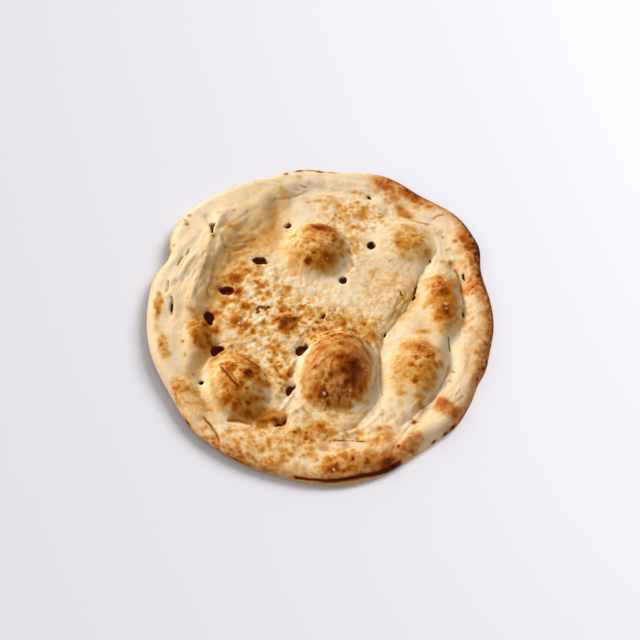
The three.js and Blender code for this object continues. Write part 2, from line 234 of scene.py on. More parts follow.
# Areas of close, parallel wrinkles: x, y, two radii, turn, direction of the wrinkles, width, height.
WRINKLED = [
    (-76, 33, 14, 26, -20, 55, 4.6, 0.7),
    (-82, 8, 12, 20, 0, 72, 4.0, 0.5),
    (-66, 25, 9, 34, -12, 78, 3.4, 0.5),
    (-52, 62, 16, 16, 0, 40, 6.0, 0.6),
    (31, -42, 7, 36, 4, 96, 2.3, 0.45),
    (40, -8, 15, 20, -30, 55, 2.6, 0.38),
    (64, -64, 9, 32, -38, 52, 2.4, 0.5),
    (88, -28, 9, 36, 0, 84, 3.4, 0.38),
    (84, 44, 9, 24, 20, 100, 3.0, 0.4),
    (62, 70, 22, 9, -35, 150, 3.2, 0.5),
    (0, 96, 44, 9, -3, 178, 3.2, 0.45),
    (16, -84, 34, 8, 8, 5, 3.0, 0.35),
    (46, -88, 13, 18, -35, 50, 3.0, 0.5),
    (-28, -22, 20, 12, 20, 20, 2.8, 0.4),
    (-14, -62, 6, 16, -20, 60, 2.6, 0.4),
    (-60, -88, 24, 8, -38, 140, 3.4, 0.4),
]

# ---- mesh sizes ----

TOP_RINGS = 158                 # the rings of the top's disc, the k-th with 6k points
TOP_DISC_INSET = 7.2            # where that disc ends and the rings over the edge start
EDGE_INSETS = (6.4, 5.6, 4.8, 4.0, 3.3, 2.7, 2.1, 1.6, 1.1, 0.7, 0.35, 0.1, 0.0)
UNDER_INSETS = (0.25, 0.7, 1.3, 2.1, 3.2)
UNDER_DISC_INSET = 4.5          # where the underside's coarser disc starts
UNDER_RINGS = 44                # the rings of that disc
HOLE_PULL = 0.6                 # how strongly points are drawn to a hole's edge
HOLE_REACH = 2.4                # how far around a hole they are drawn, in hole radii

# ---- how holes, folds and spots are drawn ----

NARROW_HOLE = 1.75              # the half width up to which a hole is narrow, and darker inside with painted shade
NARROW_CLOSING = 1.2            # how much the top of a narrow hole closes in
WALL_FOOT = 0.78                # how far out in a hole its wall starts, in hole radii
WALL_WIDTH = 0.28               # how wide the wall is, in hole radii
PIT_EDGE = 0.97                 # how far out in a hole it is dark
PIT_FADE = 0.16                 # and over how much more it pales
DIP_DEPTH = 0.7                 # how far the dough sinks around a hole, in millimetres
DIP_WIDTH = 0.5                 # and how far around it, in hole radii
LIP_WIDTH = 2.2                 # how wide the lip beside a sharp fold is, in millimetres
CREASE_DARK_SHARE = 0.75        # how much of a sharp fold's width gets its dark colour, toast and painted shade

# How what is drawn through noise wavers: how far, the width of a waver in millimetres, seed.
PATCH_WAVER = (1.4, 6, 41)
PATCH_FRAY = (0.9, 2.2, 43)
SPOT_WAVER = (0.7, 2.2, 45)
LINE_WAVER = (0.25, 2.2, 47)
FRECKLE_WAVER = (0.8, 2.6, 55)
HOLE_WAVER = (0.35, 3, 62)
CREASE_WAVER = (0.6, 5, 71)


# ---- shape functions ----

def hump(angle, centre, spread, height=1):
    """A smooth hump over an angle: its height falls to a third one spread away."""
    away = ((angle - centre + 540) % 360 - 180) / spread
    return height * np.exp(-away ** 2)


def outline_radius(angle):
    """The outline's radius at an angle."""
    turn = np.radians(angle)
    oval = HALF_WIDTH * HALF_LENGTH / np.hypot(HALF_LENGTH * np.cos(turn), HALF_WIDTH * np.sin(turn))
    return oval + sum(hump(angle, *bulge) for bulge in EDGE_BULGES)


def to_polar(x, y):
    """Angle from 0 to 360, radius, and distance in from the outline."""
    angle = np.degrees(np.arctan2(y, x)) % 360
    radius = np.hypot(x, y)
    return angle, radius, np.maximum(0, outline_radius(angle) - radius)


def from_polar(angle, radius):
    """Places at an angle and a radius."""
    return radius * np.cos(np.radians(angle)), radius * np.sin(np.radians(angle))


def smooth_rise(share):
    """A rise from 0 to 1 with level ends."""
    t = np.clip(share, 0, 1)
    return t * t * (3 - 2 * t)


def quarter_round(inset, width):
    """0 at the edge and 1 at its full width in from the edge."""
    out = 1 - np.clip(inset / width, 0, 1)
    return np.sqrt(1 - out * out)


def rim_at(angle):
    """The rim's start radius, slope width and height at an angle, between the two nearest stations."""
    stations = np.array([*RIM_STATIONS, (RIM_STATIONS[0][0] + 360, *RIM_STATIONS[0][1:])], float)
    before = np.clip(np.searchsorted(stations[:, 0], angle, side="right") - 1, 0, len(stations) - 2)
    now, after = stations[before], stations[before + 1]
    share = smooth_rise((angle - now[..., 0]) / (after[..., 0] - now[..., 0]))
    return [now[..., c] + (after[..., c] - now[..., c]) * share for c in (1, 2, 3)]


def nearest_on_path(x, y, path):
    """The distance from points to a line of points, and whether they lie to its left (1) or right (-1)."""
    nearest = np.full(np.shape(x), np.inf)
    side = np.ones(np.shape(x))
    for (ax, ay), (bx, by) in zip(path, path[1:]):
        length_squared = (bx - ax) ** 2 + (by - ay) ** 2
        share = np.clip(((x - ax) * (bx - ax) + (y - ay) * (by - ay)) / length_squared, 0, 1)
        away = np.hypot(x - ax - share * (bx - ax), y - ay - share * (by - ay))
        turn = np.sign((bx - ax) * (y - ay) - (by - ay) * (x - ax))
        side = np.where(away < nearest, turn, side)
        nearest = np.minimum(nearest, away)
    return nearest, side


def band(x, y, half_width, height, path):
    """A ridge's height, a valley's depth, or how far a line covers points."""
    return height * np.exp(-(nearest_on_path(x, y, path)[0] / half_width) ** 2)


def turned(x, y, turn):
    """Places along and across a direction at that turn from +X."""
    cos, sin = math.cos(math.radians(turn)), math.sin(math.radians(turn))
    return x * cos + y * sin, y * cos - x * sin


def oval_share(x, y, centre_x, centre_y, radius_x, radius_y, turn=0):
    """How far out in a turned oval a point lies: 0 at its middle, 1 on its edge."""
    across, along = turned(x - centre_x, y - centre_y, turn)
    return np.hypot(across / radius_x, along / radius_y)


def bubble_field(x, y):
    """What all bubbles together add: each is steep at its foot and rounded on top."""
    total = np.ones(np.shape(x))
    for *oval, height, plumpness in BUBBLES:
        share = np.minimum(oval_share(x, y, *oval), 3)
        total = total + np.exp(height * (1 - share ** plumpness) / BUBBLE_BLEND)
    return BUBBLE_BLEND * np.log(total)


def lift_at(angle, inset):
    """How far the underside stands off the table, at an angle and a distance in from the edge."""
    height = sum(hump(angle, *lift) for lift in EDGE_LIFTS)
    return height * np.maximum(0, 1 - inset / LIFT_WIDTH) ** 2


def open_top(x, y, angle, radius, inset):
    """The top's height before its edge is rounded over, without the finer folds."""
    rim_start, rim_slope, rim_height = rim_at(angle)
    height = FLOOR_THICKNESS + rim_height * smooth_rise((radius - rim_start) / rim_slope)
    height = height + bubble_field(x, y)
    for ridge in RIDGES:
        height = height + band(x, y, *ridge)
    for valley in VALLEYS:
        height = height - band(x, y, *valley)
    return height + lift_at(angle, inset)


# ---- noise ----

NOISE_SIZE = 256                # cells before a noise repeats
NOISE_GAIN = 1.6                # brings gradient noise to about -1 to 1


def cells_of(x, y, cell):
    """The cell that each point lies in, and its place inside that cell from 0 to 1."""
    grid_x, grid_y = x / cell, y / cell
    cell_x, cell_y = np.floor(grid_x).astype(int), np.floor(grid_y).astype(int)
    return cell_x, cell_y, grid_x - cell_x, grid_y - cell_y


def gradient_noise(x, y, cell, seed):
    """Smooth noise of about -1 to 1, with bumps about one cell wide."""
    turns = np.random.default_rng(seed).random((NOISE_SIZE, NOISE_SIZE)) * 2 * math.pi
    cell_x, cell_y, in_x, in_y = cells_of(x, y, cell)
    share_x, share_y = (t ** 3 * (t * (t * 6 - 15) + 10) for t in (in_x, in_y))

    def corner(dx, dy):
        turn = turns[(cell_x + dx) % NOISE_SIZE, (cell_y + dy) % NOISE_SIZE]
        return np.cos(turn) * (in_x - dx) + np.sin(turn) * (in_y - dy)

    low = corner(0, 0) * (1 - share_x) + corner(1, 0) * share_x
    high = corner(0, 1) * (1 - share_x) + corner(1, 1) * share_x
    return (low * (1 - share_y) + high * share_y) * NOISE_GAIN


def layered_noise(x, y, cell, seed, layers=3):
    """Gradient noise with more layers on top, each half as wide and half as strong."""
    return sum(0.5 ** k * gradient_noise(x, y, cell / 2 ** k, seed + k) for k in range(layers))


def blister_noise(x, y, cell, seed, fill):
    """Round blisters of uneven size, at most one to a cell: 1 on top of each and 0 between them."""
    offset_x, offset_y, size = np.random.default_rng(seed).random((3, NOISE_SIZE, NOISE_SIZE))
    cell_x, cell_y, in_x, in_y = cells_of(x, y, cell)
    best = np.zeros(np.shape(x))
    for dx in (-1, 0, 1):
        for dy in (-1, 0, 1):
            place = (cell_x + dx) % NOISE_SIZE, (cell_y + dy) % NOISE_SIZE
            away = np.hypot(in_x - dx - offset_x[place], in_y - dy - offset_y[place])
            reach = fill * (0.4 + 0.8 * size[place])
            best = np.maximum(best, np.clip(1 - (away / reach) ** 2, 0, 1))
    return best


def wavered(x, y, reach, cell, seed):
    """Points moved a little by noise, so that what is drawn through them wavers."""
    return x + reach * gradient_noise(x, y, cell, seed), y + reach * gradient_noise(x, y, cell, seed + 1)


# ---- masks ----

def patch(x, y, oval, softness=0.5):
    """1 inside an oval and 0 outside it, with a soft border."""
    return smooth_rise((1 + softness - oval_share(x, y, *oval)) / (2 * softness))


def patches(x, y, areas, softness=0.5):
    """The strongest of several soft ovals, each with its own strength at the end."""
    strongest = np.zeros(np.shape(x))
    for *oval, strength in areas:
        strongest = np.maximum(strongest, strength * patch(x, y, oval, softness))
    return strongest


def sector(angle, start, end, softness):
    """1 between two angles, the first one possibly below zero, with soft ends."""
    middle, half = (start + end) / 2, (end - start) / 2
    away = np.abs((angle - middle + 540) % 360 - 180)
    return smooth_rise((half - away) / softness + 0.5)


# ---- relief finer than the solid's ----

def puffs(x, y, direction, width, seed):
    """Rounded wrinkles with sharp valleys that run in a direction: 0 in a valley, near 1 on a wrinkle."""
    along, across = turned(x, y, direction)
    across = across + 0.5 * width * gradient_noise(x, y, 4 * width, seed + 5)
    return np.minimum(1, 1.7 * np.abs(layered_noise(along / 5, across, 2 * width, seed, layers=2)))


def ring_wrinkles(x, y):
    """Wrinkles that run around the middle bubble, from about -1 to 1, and how strongly they show."""
    share = oval_share(x, y, *MIDDLE_BUBBLE[:5])
    turn = np.arctan2(y - MIDDLE_BUBBLE[1], x - MIDDLE_BUBBLE[0])
    rings = layered_noise(share * 25, turn * 5, 2.6, seed=34, layers=2)
    show = smooth_rise((share - 0.78) / 0.12) * smooth_rise((1.5 - share) / 0.4)
    return rings, show * (0.3 + 0.7 * smooth_rise(0.2 + np.cos(turn - 0.9)))


def blisters_at(x, y):
    """Small blisters of the docked middle, 0 to 1."""
    return smooth_rise(blister_noise(x, y, 5.2, seed=21, fill=0.66)) * patches(x, y, BLISTERED)


def dough_relief(x, y):
    """Undulation, blisters and wrinkles, in millimetres."""
    docked = patches(x, y, BLISTERED)
    relief = 0.5 * gradient_noise(x, y, 15, seed=11) + 0.25 * gradient_noise(x, y, 7, seed=12)
    relief = relief + (0.07 + 0.16 * docked) * layered_noise(x, y, 2.6, seed=13, layers=2)
    relief = relief + 0.62 * blisters_at(x, y) + 0.25 * docked * gradient_noise(x, y, 8, seed=14)
    for k, (*oval, direction, width, height) in enumerate(WRINKLED):
        wrinkles = puffs(x, y, direction, width, seed=301 + 10 * k)
        relief = relief + height * patch(x, y, oval) * (wrinkles - 0.4)
    rings, show = ring_wrinkles(x, y)
    return relief + 0.45 * rings * show


def fine_relief(x, y, inset):
    """What lies on the plain top, in millimetres: the dough's relief and all folds."""
    relief = dough_relief(x, y)
    for fold in FOLDS:
        relief = relief + band(x, y, *fold)
    near_x, near_y = wavered(x, y, *CREASE_WAVER)
    for half_width, depth, lip, _, path in CREASES:
        away, side = nearest_on_path(near_x, near_y, path)
        relief = relief - depth * np.exp(-away / half_width) + lip * (side > 0) * np.exp(-away / LIP_WIDTH)
    return relief * smooth_rise(inset / 3)


# ---- docking holes ----

def hole_shares(x, y):
    """How far out in each docking hole and tip points lie: 0 at its middle, 1 on its edge."""
    shares = [oval_share(x, y, *hole) for hole in HOLES]
    for index, direction, limit in HOLE_LIPS:
        centre_x, centre_y, radius_x, radius_y, _ = HOLES[index]
        along, _ = turned(x - centre_x, y - centre_y, direction)
        shares[index] = np.maximum(shares[index], 1 + 2 * (along / math.sqrt(radius_x * radius_y) - limit))
    return [*shares, *(oval_share(x, y, *tip) for tip in HOLE_TIPS)]


def sink_holes(x, y, top, bottom):
    """The top with its docking holes sunk to a bottom, how dark the holes' crust is, and how far the
    narrow ones are darker inside still, their crust with painted shade.
    """
    pit = np.zeros(np.shape(x))
    narrow_pit_crust_and_shade = np.zeros(np.shape(x))
    narrow = [min(radii) <= NARROW_HOLE for _, _, *radii, _ in HOLES] + [False] * len(HOLE_TIPS)
    for share, is_narrow in zip(hole_shares(*wavered(x, y, *HOLE_WAVER)), narrow):
        share = share * NARROW_CLOSING if is_narrow else share
        top = top - DIP_DEPTH * np.exp(-(np.maximum(share - 1, 0) / DIP_WIDTH) ** 2)
        wall = 1 - smooth_rise((share - WALL_FOOT) / WALL_WIDTH)
        top = top * (1 - wall) + bottom * wall
        cover = 1 - smooth_rise((share - PIT_EDGE) / PIT_FADE)
        pit = np.maximum(pit, cover)
        narrow_pit_crust_and_shade = np.maximum(narrow_pit_crust_and_shade, cover * is_narrow)
    return top, pit, narrow_pit_crust_and_shade


def draw_to_holes(x, y):
    """Moves points closer to the edge of the hole that they are near, so that its wall is crisp."""
    for hole in HOLES:
        share = oval_share(x, y, *hole)
        pull = -HOLE_PULL * (share - 1) * np.exp(-((share - 1) / HOLE_PULL) ** 2)
        scale = np.where(share < HOLE_REACH, (share + pull) / np.maximum(share, 0.01), 1)
        x = hole[0] + (x - hole[0]) * scale
        y = hole[1] + (y - hole[1]) * scale
    return x, y


# ---- browning, with painted shade worked in ----

BARE_BAKED = 0.06               # how far the palest dough is baked
FOLD_BAKED = 0.6                # how far the sharp folds are baked where they are darkest
LIP_BAKED = 0.24                # how far the thin lip at the front edge is baked
PATCHINESS = 0.4                # how unevenly a toasted area is baked
EDGE_PATCHINESS = 0.55          # and how unevenly near the edge
PATCHY_EDGE_WIDTH = 14.0        # how wide that stretch along the edge is
FRECKLE_STRENGTH = 1.45         # how dark freckles are where their area's strength is 1
FRECKLE_GAP = 0.18              # a freckle fainter than this makes the dough paler
SPOT_CORE = 0.7                 # how much of a spot is its crisp core
SPOT_HALO = 0.3                 # and how much is the soft halo around it
HALO_REACH = 1.7                # how far the halo reaches, in spot radii
LEFT_RIM_SHADE = (106, 212, 16)       # the rim's stretch with painted shade: its two angles, how softly it ends
EDGE_SHADE_SECTOR = (98, 218, 12)       # the edge's stretch with painted shade in a duller, pinker colour
RUDDY_EDGE = (-80, 80, 20)      # the rim's reddish stretch

# Evenly toasted areas: x, y, two radii, turn if any, how far they are baked, softness of the border.
TOASTED = [
    # back bubble
    (-4, 46, 19, 20, 0.13, 0.2), (1, 47, 12, 15, 0.14, 0.5), (-1, 61, 7, 4.5, 0.4, 0.5),
    (0, 33, 9, 5, 0.2, 0.5),
    # front left bubble
    (-49.5, -48.5, 15.5, 25, 7, 0.22, 0.1), (-46, -64, 11, 9, 0.1, 0.4),
    # middle bubble
    (9, -44.5, 19, 25, -26, 0.3, 0.06), (18, -46, 8, 12, 0.16, 0.5),
    # ridge bubble
    (46, -45, 5.5, 12, -6, 0.27, 0.5), (59, -42, 7.5, 15, -14, 0.27, 0.4), (56, -27, 9.5, 5, 0.27, 0.5),
    (66, -13, 11, 9, 0.1, 0.5),
    # right bubble
    (74, 4, 8.5, 19, 2, 0.34, 0.4), (70, 18, 7, 8, 0.14, 0.5),
    # back right swelling
    (57, 50, 12, 13, 0.26, 0.5), (50, 47, 4.6, 5, 0.22, 0.3),
    # left bubble
    (-71.5, -17.5, 6.5, 12.5, 20, 0.22, 0.25),
    # floor
    (-21, -7, 8, 9, 25, 0.33, 0.5), (-32, -72, 12, 5, 5, 0.28, 0.4), (8, -12, 24, 14, 0.14, 0.5),
    (20, 74, 20, 12, 0.1, 0.5), (-26, -40, 11, 18, 0.12, 0.5), (44, 16, 18, 22, 0.07, 0.5),
    # painted shade on the slope down into the valley at the right of the floor
    (51, 4, 5, 16, -30, 0.16, 0.5),
    # front
    (16, -103, 15, 6, 5, 0.33, 0.5), (-6, -83, 11, 4, 0.24, 0.5), (51, -90, 4.5, 8, -10, 0.3, 0.5),
    (38, -86, 4, 5, 0.22, 0.5), (-40, -94, 26, 8, -12, 0.12, 0.5), (-6, -88, 34, 11, 0.14, 0.5),
    # left rim
    (-97, 0, 2.4, 9, 3, 0.38, 0.5), (-92, -28, 3, 9, 10, 0.32, 0.5), (-80, -55, 6, 5, -20, 0.26, 0.5),
    (-70, -66, 12, 7, -40, 0.2, 0.5), (-56, 60, 5, 4, 0.14, 0.5), (-24, 90, 5, 4, 0.16, 0.5),
    # right rim
    (70.5, -68, 5.5, 6.5, 35, 0.34, 0.3), (92, 17, 5, 7, 0.26, 0.5), (54, 75, 5, 4, -30, 0.3, 0.5),
    # painted shade on the right rim's crest, where the light falls brightly
    (90, -30, 8, 30, 6, 0.13, 0.5),
]

# Areas freckled with small golden dots: x, y, two radii, turn if any, strength.
FRECKLED = [
    (-41, 6, 22, 33, 5, 0.34), (-14, -6, 24, 18, 0.32), (-27, -40, 13, 24, 0.32), (10, -14, 30, 16, 0.26),
    (22, 74, 24, 14, -10, 0.3), (18, 44, 8, 16, 0.3), (-2, 45, 18, 20, 0.2), (54, 50, 16, 16, 0.16),
    (42, 16, 20, 18, 0.1), (-46, -52, 14, 24, 10, 0.36), (9, -60, 17, 10, 0.36),
    (60, -42, 8, 15, -14, 0.34), (74, 4, 9, 22, 4, 0.14), (-71, -18, 8, 14, 14, 0.16),
    (-30, -76, 18, 8, 0.25), (-45, -92, 34, 14, -15, 0.22), (0, -92, 36, 16, 0.26),
    (45, -74, 14, 20, -20, 0.12), (-78, -58, 12, 12, 0.2), (88, 20, 10, 50, 0.16), (0, 0, 90, 95, 0.05),
    (50, 90, 17, 9, -35, 0.36),
]

# Browning along the edge: middle angle, spread, distance in from the edge, width, how far baked.
EDGE_TOASTED = [
    (66, 7, 2, 9, 0.34), (56, 8, 1, 7, 0.42), (40, 14, 0, 5, 0.5), (27, 9, 2, 8, 0.56),
    (14, 12, 0, 7, 0.52), (-4, 14, 0, 6.5, 0.44), (-22, 14, 0, 5, 0.42), (-43, 8, 0, 3, 0.36),
    (-68, 8, 3, 7, 0.3), (-84, 12, 3, 7, 0.26), (-112, 18, 0, 5, 0.3), (-140, 16, 0, 3, 0.2),
    (170, 24, 0, 2.6, 0.3), (148, 16, 0, 2.4, 0.3), (122, 16, 0, 2.2, 0.36), (97, 12, 0, 2, 0.4),
    (60, 14, 0, 1.6, 0.4), (20, 30, 0, 1.6, 0.35), (165, 3, 0, 2, 0.3), (155, 3, 0, 2, 0.3),
]

# Scorched marks on the edge: middle angle, spread, distance in from the edge, half width, how far baked.
EDGE_SCORCHED = [
    (102, 0.8, 2.6, 2.3, 1.0), (97.4, 1.4, 2.4, 2.1, 0.92), (93.5, 1.8, 2, 1.6, 0.6),
    (90.4, 1.3, 2.4, 2, 0.95), (86, 2, 2, 1.4, 0.6), (113, 1.6, 2, 1.6, 0.6), (122, 1.6, 1.6, 1.3, 0.6),
    (-46.8, 1.3, 0, 0.9, 1.0), (-49.8, 1, 0, 0.65, 1.0), (-54.2, 0.9, 0, 0.5, 1.0),
    (-40.5, 3.4, 0, 0.4, 0.85), (-134.6, 1.7, 0, 0.5, 0.9), (-115, 2, 0, 0.5, 0.7),
    (62, 6, 1.4, 1.6, 0.68), (50, 4, 1.4, 1.4, 0.75), (34, 6, 1, 1.3, 0.78), (24, 4, 1, 1.2, 0.88),
]

# The thin lip that stands out under the burnt fold at the front edge: its width, and its two angles with
# how softly it ends there.
LEDGE_WIDTH = 1.0
LEDGE_SECTOR = (-90, -72, 5)

# The burnt line over that lip: angle, distance in from the edge, half width, how far baked.
FRONT_BURN = [
    (-98.5, 0.6, 0.5, 0.0), (-97, 0.7, 0.6, 0.97), (-94, 0.9, 0.5, 0.9), (-89, 1.5, 0.6, 0.95),
    (-84, 1.9, 0.8, 0.98), (-78, 1.9, 0.8, 0.97), (-74, 1.3, 0.8, 0.95), (-71, 0.8, 0.9, 0.95),
    (-68.5, 0.5, 1.2, 0.97), (-66.5, 0.4, 0.9, 0.85), (-65, 0.3, 0.6, 0.0),
]

# Areas with thin winding golden lines: x, y, two radii, turn if any, strength.
MARBLED = [
    (40, 16, 22, 22, 0.16), (10, -12, 30, 12, 0.24), (6, -70, 24, 7, 0.26), (-2, -82, 30, 8, 0.16),
    (-27, -38, 10, 24, 0.2), (-6, 48, 18, 20, 0.15), (22, 42, 10, 16, 0.2), (52, 52, 16, 16, 0.12),
    (53, -40, 13, 20, 0.16), (-20, 12, 24, 20, 0.14), (70, 24, 9, 14, 0.12), (30, -82, 16, 10, 30, 0.1),
]

# Thin dark lines burnt into folds and edges: half width, how far baked, points along the line.
BURNT_LINES = [
    (0.65, 0.97, [(-57, -45), (-52.5, -51.5), (-49.5, -55.5), (-46.5, -58.5)]),
    (0.5, 0.7, [(-54, -45.5), (-51, -50), (-47.5, -55.5)]),
    (0.6, 0.66, [(8.5, -38), (4.5, -40.5), (1, -43.5), (-1, -46.5)]),
    (0.6, 0.7, [(8.5, -41.5), (6.5, -44.5), (5.5, -48), (7, -48.5)]),
    (0.6, 0.6, [(1, -36), (-2.5, -39.5), (-5, -44)]),
    (0.6, 0.34, [(-11, 31), (-12, 24), (-12, 19)]),
    (0.8, 0.85, [(-44, -36), (-40, -38.5), (-35.5, -41)]),
    (0.7, 0.6, [(0, -24), (8, -21), (15, -21)]),
    (0.8, 0.5, [(84, 32), (86, 24), (87, 14)]),
    (0.9, 0.5, [(-52, -75), (-45.5, -75), (-39.5, -77)]),
    (0.8, 0.42, [(57, 70), (63.5, 67), (69, 66)]),
    (0.6, 0.56, [(72.5, 70.5), (75, 72), (78.5, 72.5)]),
    (0.5, 0.6, [(-65.5, -74.5), (-61.5, -79.5), (-58.5, -84), (-56.5, -89)]),
]

